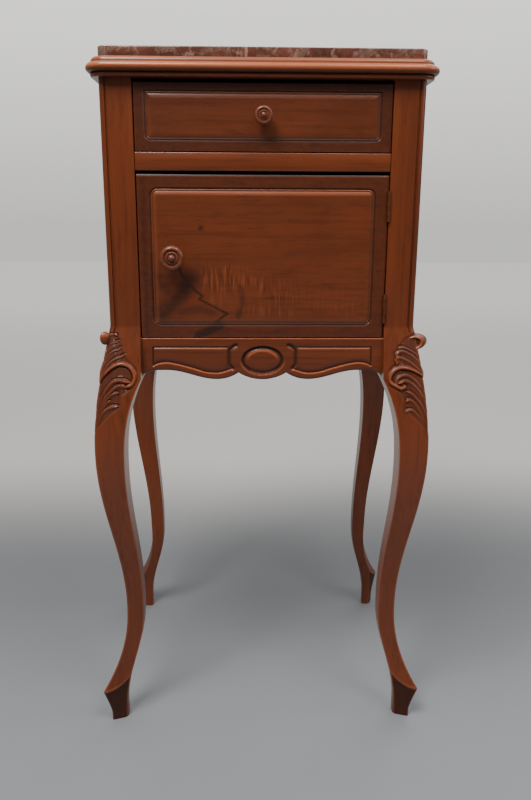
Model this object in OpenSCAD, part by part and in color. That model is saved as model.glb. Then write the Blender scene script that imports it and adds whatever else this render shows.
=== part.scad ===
// Bedside pot cupboard: a drawer over a small cupboard, on four cabriole legs,
// with a moulded frame round a marble top.
// Origin on the floor under the middle of the case. The front faces -Y, up is +Z.

/* [Case] */
// Width across the outer faces of the posts
body_w = 370; // [330:5:430]
// Depth across the outer faces of the posts
body_d = 293; // [270:1:340]
// Section of the square posts
post_w = 37.4; // [34:0.2:44]
// Height of the cupboard floor, level with the top of the apron
sill_z = 530.5; // [500:0.5:580]
// Height of the door opening
door_open_h = 194.5; // [170:0.5:260]
// Height of the rail between drawer and door
rail_h = 20.5; // [18:0.5:28]
// Height of the drawer opening
drawer_open_h = 78.5; // [70:0.5:110]
// How far doors, drawer and rails stand back from the posts
front_set = 1; // [0.5:0.5:3]

/* [Top] */
// Height of the moulded top frame
frame_h = 21.5; // [19:0.5:26]
// Width of the top frame's members, in from the posts' faces
frame_w = 52; // [45:1:65]
// How far the moulding stands out past the posts
overhang = 14.5; // [13:0.5:20]
// Radius of the large bead of the moulding
bead_r = 5; // [4:0.5:5.5]
// Radius of the small bead under it
small_bead_r = 2.6; // [2:0.1:3.5]
// Width of the quarter round over it
ovolo_w = 5; // [4:0.5:6]
// Thickness of the marble slab
marble_t = 14; // [10:1:25]
// Depth that the slab is let into the frame
marble_sink = 2.5; // [1:0.5:4]
// Plan radius of the slab's front corners
corner_r = 10; // [6:1:16]

/* [Legs] */
// Height of the top of the carved knee above the sill
knee_top = 14.5; // [10:0.5:20]
// Height at which the knee stands out furthest
knee_z = 390; // [370:5:410]
// How far the knee stands out past the post
knee_out = 21.7; // [16:0.1:26]
// Height of the thinnest place, above the foot
ankle_z = 165; // [150:5:180]
// How far the ankle is drawn in behind the post's face
ankle_in = 4.4; // [2:0.1:8]
// Height of the ridge across the toe
toe_z = 49; // [40:1:60]
// How far the toe stands out past the post
toe_out = 28.5; // [24:0.1:32]
// How far the sole stands out past the post
sole_out = 21; // [16:0.5:23]
// How much less the front feet stand out forwards than sideways
front_less = 9.5; // [0:0.5:12]
// How much less the back feet stand out backwards than sideways
back_less = 3; // [0:0.5:12]
// Height of the upright rim round the sole
sole_h = 12; // [8:1:16]
// Inner face of the knee, in from the post's outer face
knee_in = 14.2; // [12:0.1:18]
// Inner face of the ankle, in from the post's outer face
shin_in = 26.8; // [24:0.1:30]
// Inner face of the sole, in from the post's outer face
sole_in = 1; // [0:0.5:6]
// How much slimmer the back legs are
back_slim = 2; // [0:0.5:5]
// Radius of the scroll on the knee
scroll_r = 8; // [6:0.5:9]
// Length of the scroll
scroll_l = 12; // [8:1:16]
// Width of the bead down the posts' outer corner
post_bead = 6.3; // [4:0.1:8]
// Width of the quirk beside the bead
quirk_w = 2.6; // [1.6:0.2:4]
// Depth of the quirk
quirk_d = 1.8; // [1:0.1:3]

/* [Apron] */
// Height of the front apron at its middle
apron_h = 52.3; // [48:0.1:60]
// Thickness of the front apron
apron_t = 22; // [18:1:26]
// Half width of the middle lobe, out to the cusp
cusp_x = 29.5; // [26:0.5:34]
// Rise of the cusps above the middle lobe
cusp_rise = 8.6; // [6:0.1:12]
// Place of the lowest point of each side lobe
lobe_x = 56; // [50:1:64]
// Width of the level arch beside the leg
arch_flat = 10; // [4:1:16]
// Width of the edge's turn down to the leg
arch_turn = 19.6; // [14:0.2:26]
// Rise of that arch above the middle lobe
arch_rise = 11.8; // [8:0.1:16]
// Drop of the edge where it meets the leg
arch_drop = 8.6; // [4:0.1:11]
// Half width of the oval boss
boss_x = 21; // [16:0.5:22]
// Half height of the oval boss
boss_z = 13.4; // [10:0.1:15]
// Width of the sunk ring round the boss
boss_ring = 5; // [3:0.5:6]
// Depth of the carved lines on the apron
carve_d = 1.6; // [1:0.1:3]
// Width of the carved lines on the apron
carve_w = 3; // [2:0.5:4]
// Height of the carved panels' border above the apron's edge
border_h = 8.5; // [8:0.5:12]

/* [Rails and panels] */
// Thickness of the side and back rails
rail_t = 20; // [16:1:24]
// How far side and back rails stand back from the posts' faces
rail_set = 2; // [1:0.5:4]
// Height of the top rails
top_rail_h = 30; // [26:1:40]
// Height of the lower rails above the sill
low_rail_up = 16; // [12:1:24]
// Depth of the drawer rail, front to back
drawer_rail_d = 40; // [34:1:50]
// Thickness of the side panels
panel_t = 9; // [6:1:10]
// How far the side panels stand back from the rails
panel_set = 3; // [2:0.5:5]
// Thickness of the back panel
back_t = 5; // [4:1:8]
// Depth of the grooves that hold the panels
groove_d = 6; // [4:0.5:8]
// Thickness of the cupboard floor
floor_t = 12; // [9:1:16]
// Thickness of the dust board over the cupboard
dust_t = 6; // [4:1:8]
// Side of the cleats under the floor
cleat = 15; // [12:1:20]
// Width of the drawer runners
runner_w = 35; // [30:1:45]
// Height of the drawer guides
guide_h = 44; // [30:1:46]

/* [Drawer] */
// Space behind the drawer
drawer_space = 5; // [4:1:60]
// Thickness of the drawer front
front_t = 20; // [18:1:24]
// Thickness of the drawer sides and back
side_t = 10; // [8:0.5:12]
// Thickness of the drawer bottom
bottom_t = 5; // [3:0.5:6]
// Gap over the drawer front
drawer_top_gap = 3.6; // [1:0.1:5]
// Depth of the drawer sides below the top of the front
side_drop = 8.8; // [6:0.2:14]
// Height of the stops that the drawer front closes on
stop_h = 4.5; // [3:0.5:5]
// Number of dovetails at each corner
tails = 3; // [2:1:4]

/* [Door] */
// Thickness of the door
door_t = 19; // [18:1:22]
// Gap over the door
door_top_gap = 3.9; // [1:0.1:5]
// Margin round the door's raised field
door_margin = 14.6; // [10:0.1:20]
// Margin beside the drawer's raised field
drawer_margin = 11.6; // [8:0.1:16]
// Margin under the drawer's raised field
drawer_margin_low = 11.2; // [6:0.1:12]
// Margin over the drawer's raised field
drawer_margin_top = 8.6; // [8:0.1:14]
// Width of the sunk moulding round the fields
field_w = 6; // [4:0.5:7]
// Width of each of the two lines that make up that moulding
line_w = 3; // [2:0.5:4]
// Depth of the sunk moulding round the fields
field_d = 2.4; // [1.5:0.1:4]
// Corner radius of the fields
field_r = 9; // [7:0.5:12]

/* [Hardware] */
// Diameter of the drawer knob
drawer_knob_d = 20.8; // [18:0.2:28]
// Diameter of the door knob
door_knob_d = 28.4; // [20:0.2:32]
// Distance of the door knob from the door's free edge
door_knob_in = 40.3; // [32:0.1:50]
// Height of the door knob above the sill
door_knob_up = 96.7; // [70:0.1:120]
// Height of the drawer knob above the middle of the drawer front
drawer_knob_up = 1.2; // [0:0.1:4]
// Length of a hinge
hinge_l = 34; // [28:1:45]
// Distance of the hinges from the door's ends
hinge_inset = 18; // [14:1:30]
// Width of a hinge leaf
leaf_w = 15; // [12:0.5:17]
// Thickness of a hinge leaf
leaf_t = 1; // [0.8:0.1:1.4]
// Radius of the hinge barrel
barrel_r = 2.2; // [2:0.1:2.6]
// Radius of the hinge pin
pin_r = 1; // [0.8:0.05:1.2]
// Number of knuckles in a hinge
knuckles = 5; // [3:2:7]
// Radius of the catch's case
catch_r = 4.3; // [4.3:0.1:5]
// Length of the catch's case
catch_l = 14; // [13:0.5:16]
// Radius of the catch's ball
ball_r = 3.5; // [3.2:0.1:3.6]
// How far the ball stands out
ball_out = 1.9; // [1.6:0.1:2]

/* [Fits] */
// Gap round a glued joint
fit = 0.1; // [0.05:0.05:0.2]
// Space left at the bottom of a mortise
mortise_end = 1; // [0.5:0.5:2]
// Gap under and behind what slides
slide_gap = 0.3; // [0.2:0.1:0.6]
// Gap over the drawer sides
kicker_gap = 1; // [0.5:0.1:2]
// Gap beside the door and the drawer front
side_gap = 1; // [0.6:0.1:1.6]
// Gap under the door and the drawer front
under_gap = 0.8; // [0.4:0.1:1.6]
// Clearance round the hinge pin in the moving knuckles
pin_gap = 0.05; // [0.02:0.01:0.08]
// Gap round the hinge barrel and the catch's strike
hard_gap = 0.3; // [0.2:0.1:0.5]

/* [Hidden] */
$fn = 64;

// Places worked out from the sizes above
hw = body_w / 2;
hd = body_d / 2;
open_hw = hw - post_w;                  // inner faces of the posts, side to side
open_hd = hd - post_w;                  // inner faces of the posts, front to back
rail_z = sill_z + door_open_h;          // underside of the drawer rail
run_z = rail_z + rail_h;                // drawer runs on this level
top_z = run_z + drawer_open_h;          // underside of the top frame
knee_top_z = sill_z + knee_top;
apron_low = sill_z - apron_h;
bracket_z = apron_low + arch_rise - arch_drop;   // where the aprons meet the legs
face_y = -hd + front_set;               // front faces of door, drawer and rails
rail_x1 = hw - rail_set;                // side rails' outer and inner faces
rail_x0 = rail_x1 - rail_t;
panel_x1 = rail_x1 - panel_set;
panel_x0 = panel_x1 - panel_t;
back_y1 = hd - rail_set;                // back rails' outer and inner faces
back_y0 = back_y1 - rail_t;
back_panel_y = (back_y0 + back_y1 - back_t) / 2;
low_rail_z = sill_z + low_rail_up;
top_rail_z = top_z - top_rail_h;
drawer_rail_y = face_y + drawer_rail_d;
floor_z = sill_z - floor_t;
leaf_hw = open_hw - side_gap;           // half width of the drawer front and the door
front_z0 = run_z + under_gap;           // drawer front, below and above
front_z1 = top_z - drawer_top_gap;
side_z0 = run_z + slide_gap;            // drawer sides, below and above
side_z1 = front_z1 - side_drop;
kicker_z = side_z1 + kicker_gap;
door_z0 = sill_z + under_gap;
door_z1 = rail_z - door_top_gap;
tenon_l = 14;
tenon_t = 8;
shoulder = 5;                           // wood left above and below a tenon
over = 1;                               // how far a cut starts before its face

// A box from its lowest to its highest corner
module block(lo, hi) translate(lo) cube(hi - lo);

// The same thing at both sides
module both() {
    children();
    mirror([1, 0, 0]) children();
}

// A flat rectangle with round corners, from its lowest to its highest corner
module rounded(lo, hi, r) {
    translate([lo[0] + r, lo[1]]) square([hi[0] - lo[0] - 2 * r, hi[1] - lo[1]]);
    translate([lo[0], lo[1] + r]) square([hi[0] - lo[0], hi[1] - lo[1] - 2 * r]);
    for (x = [lo[0] + r, hi[0] - r], y = [lo[1] + r, hi[1] - r]) translate([x, y]) circle(r);
}

// Stands an outline drawn in X and Z upright, from y forward to y + t
module upright(y, t) translate([0, y + t, 0]) rotate([90, 0, 0]) linear_extrude(t) children();

// Length of a tenon, or of the mortise that takes it
function tenon_len(grow) = tenon_l + (grow > 0 ? mortise_end : 0);

// Tenons that run sideways into the posts, or their mortises when grown
module tenons_x(y, z, t, h, grow = 0)
    both() translate([open_hw - over, y - t / 2 - grow, z - h / 2 - grow])
        cube([tenon_len(grow) + over, t + 2 * grow, h + 2 * grow]);

// Tenons that run front to back into the posts, on the left side or the right
module tenons_y(side, z, h, grow = 0)
    for (s = [0, 1]) mirror([0, s, 0])
        translate([side * (rail_x0 + rail_x1) / 2 - tenon_t / 2 - grow, open_hd - over,
            z - h / 2 - grow])
            cube([tenon_t + 2 * grow, tenon_len(grow) + over, h + 2 * grow]);

// Middle height and height of each rail's tenons
apron_tenon = [(sill_z + bracket_z) / 2, sill_z - bracket_z - 2 * shoulder];
low_tenon = [(low_rail_z - groove_d + bracket_z) / 2,
    low_rail_z - groove_d - bracket_z - 2 * shoulder];
top_tenon = [(top_z + top_rail_z + groove_d) / 2, top_rail_h - groove_d - 2 * shoulder];
drawer_rail_tenon = [(rail_z + run_z) / 2, rail_h - 2 * shoulder];
drawer_rail_tenon_d = drawer_rail_d - 4 * shoulder;
back_tenon_y = (back_y0 + back_y1) / 2;

module apron_tenons(grow = 0)
    tenons_x(face_y + apron_t / 2, apron_tenon[0], tenon_t, apron_tenon[1], grow);
module drawer_rail_tenons(grow = 0)
    tenons_x(face_y + drawer_rail_d / 2, drawer_rail_tenon[0], drawer_rail_tenon_d,
        drawer_rail_tenon[1], grow);
module back_top_tenons(grow = 0)
    tenons_x(back_tenon_y, top_tenon[0], tenon_t, top_tenon[1], grow);
module back_low_tenons(grow = 0)
    tenons_x(back_tenon_y, low_tenon[0], tenon_t, low_tenon[1], grow);
module side_top_tenons(side, grow = 0) tenons_y(side, top_tenon[0], top_tenon[1], grow);
module side_low_tenons(side, grow = 0) tenons_y(side, low_tenon[0], low_tenon[1], grow);

// The panels as they sit, or their grooves when grown
module side_panel_blank(side, grow = 0)
    translate([side > 0 ? panel_x0 - grow : -panel_x1 - grow, -open_hd - groove_d - grow,
        low_rail_z - groove_d - grow])
        cube([panel_t + 2 * grow, 2 * (open_hd + groove_d + grow),
            top_rail_z - low_rail_z + 2 * (groove_d + grow)]);
module back_panel_blank(grow = 0)
    translate([-open_hw - groove_d - grow, back_panel_y - grow, low_rail_z - groove_d - grow])
        cube([2 * (open_hw + groove_d + grow), back_t + 2 * grow,
            top_rail_z - low_rail_z + 2 * (groove_d + grow)]);

// ---- Top ----

// Front outline of the slab: square at the back, round at the front corners
module top_plan() {
    translate([-hw, -hd + corner_r]) square([body_w, body_d - corner_r]);
    translate([-hw + corner_r, -hd]) square([body_w - 2 * corner_r, 2 * corner_r]);
    for (s = [-1, 1]) translate([s * (hw - corner_r), -hd + corner_r]) circle(corner_r);
}

module marble_top() {
    color([0.42, 0.22, 0.18])
        translate([0, 0, top_z + frame_h - marble_sink]) linear_extrude(marble_t) top_plan();
}

// Section of the moulding: a small bead, a large one, a quirk and a quarter round.
// The first number is the distance out from the post's face, the second the height.
quirk_h = 0.6;                          // between the large bead and the quarter round
bead_x = overhang - bead_r;
bead_z = 2 * small_bead_r + bead_r;
small_bead_x = bead_x - small_bead_r;
ovolo_z = bead_z + bead_r + quirk_h;
ovolo_h = frame_h - ovolo_z;
ovolo_x = bead_x - 1 - ovolo_w;
arc_steps = 12;
marble_gap = 0.3;
function moulding_section(inner) = concat(
    [[-inner, 0]],
    [for (i = [0:arc_steps]) let (a = -90 + 180 * i / arc_steps)
        [small_bead_x + small_bead_r * cos(a), small_bead_r + small_bead_r * sin(a)]],
    [for (i = [0:arc_steps]) let (a = -90 + 180 * i / arc_steps)
        [bead_x + bead_r * cos(a), bead_z + bead_r * sin(a)]],
    [for (i = [0:arc_steps]) let (a = 90 * i / arc_steps)
        [ovolo_x + ovolo_w * cos(a), ovolo_z + ovolo_h * sin(a)]],
    [[marble_gap, frame_h], [marble_gap, frame_h - marble_sink], [-inner, frame_h - marble_sink]]);

// Half of a rounded corner, up to the mitre: on the right (1) from straight ahead,
// on the left (-1) from the side
module moulding_corner(side)
    translate([side * (hw - corner_r), -hd + corner_r, top_z]) rotate([0, 0, side > 0 ? 270 : 180])
        rotate_extrude(angle = 45)
            translate([corner_r, 0]) polygon(moulding_section(corner_r));

frame_tenon_l = 12;
frame_tenon_in = 10;                    // from the frame's back and inner edges
module frame_tenons(grow = 0)
    both() block([hw - frame_w - over, hd - frame_w + frame_tenon_in - grow, top_z + shoulder - grow],
        [hw - frame_w + frame_tenon_l + (grow > 0 ? mortise_end : 0), hd - frame_tenon_in + grow,
            top_z + frame_h - marble_sink - shoulder + grow]);

dowel_r = 4;
dowel_up = 10;
dowel_down = 20;
dowel_in = 16;                          // in from the posts' outer faces
bore_gap = 0.05;                        // round dowels, screws and the catch's case
module top_dowel_pins(grow = 0)
    for (sx = [-1, 1], sy = [-1, 1])
        translate([sx * (hw - dowel_in), sy * (hd - dowel_in), top_z - dowel_down - grow])
            cylinder(r = dowel_r + (grow > 0 ? bore_gap : 0),
                h = dowel_down + dowel_up + 2 * grow);

// Countersunk wood screw with its head's face at z = 0, pointing up
screw_r = 1.7;
module wood_screw(r, l) {
    cylinder(r1 = 2 * r, r2 = r, h = 1.2 * r);
    cylinder(r = r, h = l);
}
module screw_hole(r, l) wood_screw(r + bore_gap, l);
module slotted_screw(r, l) {
    difference() {
        wood_screw(r, l);
        translate([-2 * r - over, -0.25 * r, -over])
            cube([4 * r + 2 * over, 0.5 * r, over + 0.5 * r]);
    }
}

top_screw_l = 22;
top_screw_x = (open_hw + rail_x0) / 2;
top_screw_y = 75;
module top_screw_places()
    for (sx = [-1, 1], sy = [-1, 1])
        translate([sx * top_screw_x, sy * top_screw_y, kicker_z]) children();

module top_moulding_front() {
    color([0.44, 0.19, 0.09]) difference() {
        union() {
            intersection() {
                rotate([90, 0, 90]) translate([0, 0, -hw]) linear_extrude(body_w)
                    translate([-hd, top_z]) mirror([1, 0]) polygon(moulding_section(frame_w));
                linear_extrude(top_z + 2 * frame_h)
                    polygon([[-hw + corner_r, -hd - 2 * overhang],
                        [hw - corner_r, -hd - 2 * overhang],
                        [hw - corner_r, -hd + corner_r], [hw - frame_w, -hd + frame_w],
                        [-hw + frame_w, -hd + frame_w], [-hw + corner_r, -hd + corner_r]]);
            }
            both() moulding_corner(1);
        }
        top_dowel_pins(fit);
    }
}

// The left side of the frame; the right one is its mirror image
module moulding_side() {
    difference() {
        union() {
            intersection() {
                rotate([90, 0, 0]) translate([0, 0, -hd]) linear_extrude(body_d)
                    translate([-hw, top_z]) mirror([1, 0]) polygon(moulding_section(frame_w));
                linear_extrude(top_z + 2 * frame_h)
                    polygon([[-hw - 2 * overhang, -hd + corner_r], [-hw + corner_r, -hd + corner_r],
                        [-hw + frame_w, -hd + frame_w],
                        [-hw + frame_w, hd], [-hw - 2 * overhang, hd]]);
            }
            moulding_corner(-1);
        }
        frame_tenons(fit);
        top_dowel_pins(fit);
        top_screw_places() screw_hole(screw_r, top_screw_l);
    }
}
module top_moulding_left() { color([0.44, 0.19, 0.09]) moulding_side(); }
module top_moulding_right() { color([0.44, 0.19, 0.09]) mirror([1, 0, 0]) moulding_side(); }

module top_back_rail() {
    color([0.40, 0.20, 0.10]) {
        block([-hw + frame_w, hd - frame_w, top_z],
            [hw - frame_w, hd, top_z + frame_h - marble_sink]);
        frame_tenons();
    }
}

module top_dowels() { color([0.72, 0.55, 0.36]) top_dowel_pins(); }
module top_screws() {
    color([0.70, 0.58, 0.30]) top_screw_places() slotted_screw(screw_r, top_screw_l);
}

// ---- Legs ----

leg_steps = 12;
shin_top = ankle_z + 10;                // the inner line is level between these heights
shin_low = ankle_z - 7;
heel_z = 20;                            // and upright below this one
knee_in_z = knee_z - 25;
toe_curve = 2.3;                        // how suddenly the foot turns outwards
bracket_curve = 2.6;                    // and the leg turns in to the apron
function ease(t) = (1 - cos(180 * t)) / 2;

// Outer line of a leg, from the top of the knee down to the sole. Seen from the side, the
// foot stands out by less than seen from the front.
function outer_line(less) = concat(
    [for (i = [0:leg_steps]) let (t = i / leg_steps)
        [knee_out * sin(90 * t), knee_top_z + (knee_z - knee_top_z) * t]],
    [for (i = [1:leg_steps]) let (t = i / leg_steps)
        [knee_out - (knee_out + ankle_in) * ease(t), knee_z + (ankle_z - knee_z) * t]],
    [for (i = [1:leg_steps]) let (t = i / leg_steps)
        [-ankle_in + (toe_out - less + ankle_in) * pow(t, toe_curve),
            ankle_z + (toe_z - ankle_z) * t]],
    [[sole_out - less, sole_h], [sole_out - less, 0]]);

// Inner line of a leg, from the sole up to the bracket under the apron
function inner_line(slim, less) = concat(
    [[-sole_in - less + slim, 0]],
    [for (i = [0:leg_steps]) let (t = i / leg_steps)
        [-sole_in - less + slim - (shin_in - sole_in - less) * ease(t),
            heel_z + (shin_low - heel_z) * t]],
    [for (i = [0:leg_steps]) let (t = i / leg_steps)
        [-shin_in + slim + (shin_in - knee_in) * ease(t), shin_top + (knee_in_z - shin_top) * t]],
    [for (i = [1:leg_steps]) let (t = i / leg_steps)
        [-knee_in + slim * (1 - t) - (post_w - knee_in) * pow(t, bracket_curve),
            knee_in_z + (bracket_z - knee_in_z) * t]]);

module leg_outline(slim, less)
    polygon(concat([[0, top_z]], outer_line(less), inner_line(slim, less), [[-post_w, top_z]]));

// A leg and its post, in the corner where X and Y are both negative outwards
module leg_blank(slim, less) {
    reach = post_w + toe_out + 2 * over;
    intersection() {
        translate([0, post_w + over, 0]) rotate([90, 0, 0]) linear_extrude(reach)
            mirror([1, 0]) leg_outline(slim, 0);
        translate([post_w + over, 0, 0]) rotate([90, 0, -90]) linear_extrude(reach)
            leg_outline(slim, less);
    }
}

// The scroll that curls out at the top of the knee
scroll_out = 1.1;
module knee_scroll() {
    translate([-scroll_out, -scroll_out, sill_z]) rotate([0, 0, 45]) rotate([90, 0, 0])
        cylinder(r = scroll_r, h = scroll_l, center = true);
}

// What is cut from a front post's outer corner to leave a bead between two quirks
bead_start = 3;                         // above the knee
module post_corner_cut() {
    z0 = knee_top_z + bead_start;
    h = top_z - z0 + over;
    translate([0, 0, z0]) {
        difference() {
            translate([-over, -over, 0]) cube([post_bead + over, post_bead + over, h]);
            translate([post_bead, post_bead, -over]) cylinder(r = post_bead, h = h + 2 * over);
        }
        translate([post_bead, -over, 0]) cube([quirk_w, over + quirk_d, h]);
        translate([-over, post_bead, 0]) cube([over + quirk_d, quirk_w, h]);
    }
}

// Cuts in the posts for the rails, the panels, the dowels and the hardware
module post_cuts() {
    apron_tenons(fit);
    drawer_rail_tenons(fit);
    back_top_tenons(fit);
    back_low_tenons(fit);
    back_panel_blank(fit);
    for (side = [-1, 1]) {
        side_top_tenons(side, fit);
        side_low_tenons(side, fit);
        side_panel_blank(side, fit);
    }
    runner_tenons(fit);
    top_dowel_pins(fit);
}

module front_leg() {
    translate([-hw, -hd, 0]) {
        difference() {
            leg_blank(0, front_less);
            post_corner_cut();
        }
        knee_scroll();
    }
}

module front_leg_left() {
    color([0.42, 0.18, 0.08]) difference() {
        front_leg();
        post_cuts();
        strike_seat();
        strike_screw_places() screw_hole(strike_screw_r, strike_screw_l);
    }
}

module front_leg_right() {
    color([0.42, 0.18, 0.08]) difference() {
        mirror([1, 0, 0]) front_leg();
        post_cuts();
        for (z = hinge_zs) {
            leaf_seat(z, 1);
            barrel_seat(z);
            leaf_screw_places(z, 1) screw_hole(leaf_screw_r, leaf_screw_l);
        }
    }
}

module rear_leg(side) {
    difference() {
        mirror([side > 0 ? 1 : 0, 0, 0]) mirror([0, 1, 0]) translate([-hw, -hd, 0])
            leg_blank(back_slim, back_less);
        post_cuts();
    }
}
module rear_leg_left() { color([0.36, 0.15, 0.08]) rear_leg(-1); }
module rear_leg_right() { color([0.36, 0.15, 0.08]) rear_leg(1); }

// ---- Rails, aprons and panels ----

edge_steps = 10;
// Height of a flat arc over its lowest point, for a half chord c and a rise h, at x
function arc_rise(x, c, h) = let (r = (c * c + h * h) / (2 * h)) r - sqrt(r * r - x * x);

// Rise of the front apron's lower edge above its lowest point, from the middle outwards
lobe_rise = 0.3;
arch_end = open_hw - arch_turn;
arch_x = arch_end - arch_flat;
apron_edge = concat(
    [for (i = [0:edge_steps]) let (x = cusp_x * i / edge_steps)
        [x, arc_rise(x, cusp_x, cusp_rise)]],
    [for (i = [1:edge_steps]) let (x = cusp_x + (lobe_x - cusp_x) * i / edge_steps)
        [x, lobe_rise + arc_rise(lobe_x - x, lobe_x - cusp_x, cusp_rise - lobe_rise)]],
    [for (i = [1:edge_steps]) let (t = i / edge_steps)
        [lobe_x + (arch_x - lobe_x) * t, lobe_rise + (arch_rise - lobe_rise) * ease(t)]],
    [for (i = [0:edge_steps]) let (a = 90 * i / edge_steps)
        [arch_end + arch_turn * sin(a), arch_rise - arch_drop * (1 - cos(a))]]);

module apron_outline()
    polygon(concat([for (p = apron_edge) [p[0], apron_low + p[1]]],
        [[open_hw, sill_z], [-open_hw, sill_z]],
        [for (i = [len(apron_edge) - 1:-1:1]) [-apron_edge[i][0], apron_low + apron_edge[i][1]]]));

// Outline of a carved panel between the post and the boss, drawn in by a border
carve_margin = 13.5;
carve_start = boss_x + 20.5;
module carved_panel(border) {
    x0 = carve_start + border;
    x1 = open_hw - carve_margin - border;
    lower = [for (p = apron_edge) if (p[0] > x0 && p[0] < x1) [p[0], p[1]]];
    polygon(concat([[x0, apron_low + border_h + border + lower[0][1]]],
        [for (p = lower) [p[0], apron_low + border_h + border + p[1]]],
        [[x1, apron_low + border_h + border + lower[len(lower) - 1][1]],
            [x1, sill_z - carve_margin - border], [x0, sill_z - carve_margin - border]]));
}

boss_up = (sill_z + apron_low - 3) / 2;
module boss_outline(grow) translate([0, boss_up]) scale([boss_x + grow, boss_z + grow]) circle(1);

module apron_front() {
    color([0.44, 0.19, 0.09]) difference() {
        union() {
            upright(face_y, apron_t) apron_outline();
            apron_tenons();
        }
        upright(face_y - over, over + carve_d) both() difference() {
            carved_panel(0);
            carved_panel(carve_w);
        }
        upright(face_y - over, over + carve_d) difference() {
            boss_outline(boss_ring);
            boss_outline(0);
        }
    }
}

module drawer_rail() {
    color([0.42, 0.18, 0.08]) difference() {
        union() {
            block([-open_hw, face_y, rail_z], [open_hw, drawer_rail_y, run_z]);
            drawer_rail_tenons();
        }
        dust_blank(fit);
        runner_tenons(fit);
    }
}

module side_rail(side) {
    difference() {
        union() {
            translate([side > 0 ? rail_x0 : -rail_x1, -open_hd, top_rail_z])
                cube([rail_t, 2 * open_hd, top_rail_h]);
            side_top_tenons(side);
        }
        side_panel_blank(side, fit);
    }
}
module side_rail_left() { color([0.38, 0.17, 0.09]) side_rail(-1); }
module side_rail_right() { color([0.38, 0.17, 0.09]) side_rail(1); }

// The side and back aprons have a plain edge: level, with a quarter turn down at each leg
module plain_edge(half, top, t) {
    points = [for (i = [0:edge_steps]) let (a = 90 * i / edge_steps)
        [half - arch_turn + arch_turn * sin(a), bracket_z + arch_drop * cos(a)]];
    translate([0, t / 2, 0]) rotate([90, 0, 0]) linear_extrude(t)
        polygon(concat(points, [[half, top], [-half, top]],
            [for (i = [len(points) - 1:-1:0]) [-points[i][0], points[i][1]]]));
}

module side_apron(side) {
    difference() {
        union() {
            translate([side * (rail_x0 + rail_x1) / 2, 0, 0]) rotate([0, 0, 90])
                plain_edge(open_hd, low_rail_z, rail_t);
            side_low_tenons(side);
        }
        side_panel_blank(side, fit);
    }
}
module side_apron_left() { color([0.38, 0.17, 0.09]) side_apron(-1); }
module side_apron_right() { color([0.38, 0.17, 0.09]) side_apron(1); }

module side_panel_left() { color([0.36, 0.16, 0.08]) side_panel_blank(-1); }
module side_panel_right() { color([0.36, 0.16, 0.08]) side_panel_blank(1); }

module back_rail_top() {
    color([0.36, 0.17, 0.10]) difference() {
        union() {
            block([-open_hw, back_y0, top_rail_z], [open_hw, back_y1, top_z]);
            back_top_tenons();
        }
        back_panel_blank(fit);
    }
}

module back_rail_bottom() {
    color([0.36, 0.17, 0.10]) difference() {
        union() {
            translate([0, back_tenon_y, 0]) plain_edge(open_hw, low_rail_z, rail_t);
            back_low_tenons();
        }
        back_panel_blank(fit);
    }
}

module back_panel() { color([0.42, 0.24, 0.14]) back_panel_blank(); }

// ---- Inside the case ----

module cupboard_floor() {
    gap = 2 * fit;
    color([0.55, 0.36, 0.20]) {
        block([-open_hw + gap, face_y + apron_t + gap, floor_z],
            [open_hw - gap, back_y0 - gap, sill_z]);
        block([-rail_x0 + gap, -open_hd + gap, floor_z],
            [rail_x0 - gap, open_hd - gap, sill_z]);
    }
}

module floor_cleat(side)
    translate([side > 0 ? rail_x0 - cleat : -rail_x0, -open_hd, floor_z - cleat])
        cube([cleat, 2 * open_hd, cleat]);
module floor_cleat_left() { color([0.60, 0.42, 0.25]) floor_cleat(-1); }
module floor_cleat_right() { color([0.60, 0.42, 0.25]) floor_cleat(1); }

// Three-cornered blocks glued under the floor, behind the apron and the back rail
block_l = 45;
block_x = 74;
module glue_blocks() {
    color([0.60, 0.42, 0.25])
        for (sx = [-1, 1], back = [0, 1])
            translate([sx * block_x - block_l / 2, back > 0 ? back_y0 : face_y + apron_t, floor_z])
                rotate([90, 0, 90]) linear_extrude(block_l)
                    mirror([back, 0]) polygon([[0, 0], [cleat, 0], [0, -cleat]]);
}

// The dust board as it sits, or its groove when grown
dust_z = (rail_z + run_z - dust_t) / 2;
runner_x0 = rail_x0 - runner_w;
module dust_blank(grow = 0)
    block([-runner_x0 - groove_d - grow, drawer_rail_y - groove_d - grow, dust_z - grow],
        [runner_x0 + groove_d + grow, open_hd + grow, dust_z + dust_t + grow]);
module dust_board() { color([0.62, 0.44, 0.27]) dust_blank(); }

// Stub tenons of the runners, into the drawer rail and into the back posts
stub_w = 9;
stub_l = 8;
stub_in = 3;
module runner_tenons(grow = 0) {
    end = stub_l + (grow > 0 ? mortise_end : 0);
    front_x = runner_x0 + groove_d + stub_in;
    back_x = open_hw + stub_in;
    both() {
        block([front_x - grow, drawer_rail_y - end, dust_z - grow],
            [front_x + stub_w + grow, drawer_rail_y + over, dust_z + dust_t + grow]);
        block([back_x - grow, open_hd - over, dust_z - grow],
            [back_x + stub_w + grow, open_hd + end, dust_z + dust_t + grow]);
    }
}

module drawer_runner(side) {
    difference() {
        translate([side > 0 ? runner_x0 : -rail_x0, drawer_rail_y, rail_z])
            cube([runner_w, open_hd - drawer_rail_y, rail_h]);
        dust_blank(fit);
    }
    intersection() {
        runner_tenons();
        translate([side > 0 ? 0 : -body_w, -body_d, 0]) cube([body_w, 2 * body_d, top_z]);
    }
}
module drawer_runner_left() { color([0.66, 0.48, 0.30]) drawer_runner(-1); }
module drawer_runner_right() { color([0.66, 0.48, 0.30]) drawer_runner(1); }

module drawer_guide(side)
    translate([side > 0 ? open_hw : -rail_x0, -open_hd, run_z])
        cube([rail_x0 - open_hw, 2 * open_hd, guide_h]);
module drawer_guide_left() { color([0.66, 0.48, 0.30]) drawer_guide(-1); }
module drawer_guide_right() { color([0.66, 0.48, 0.30]) drawer_guide(1); }

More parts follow.
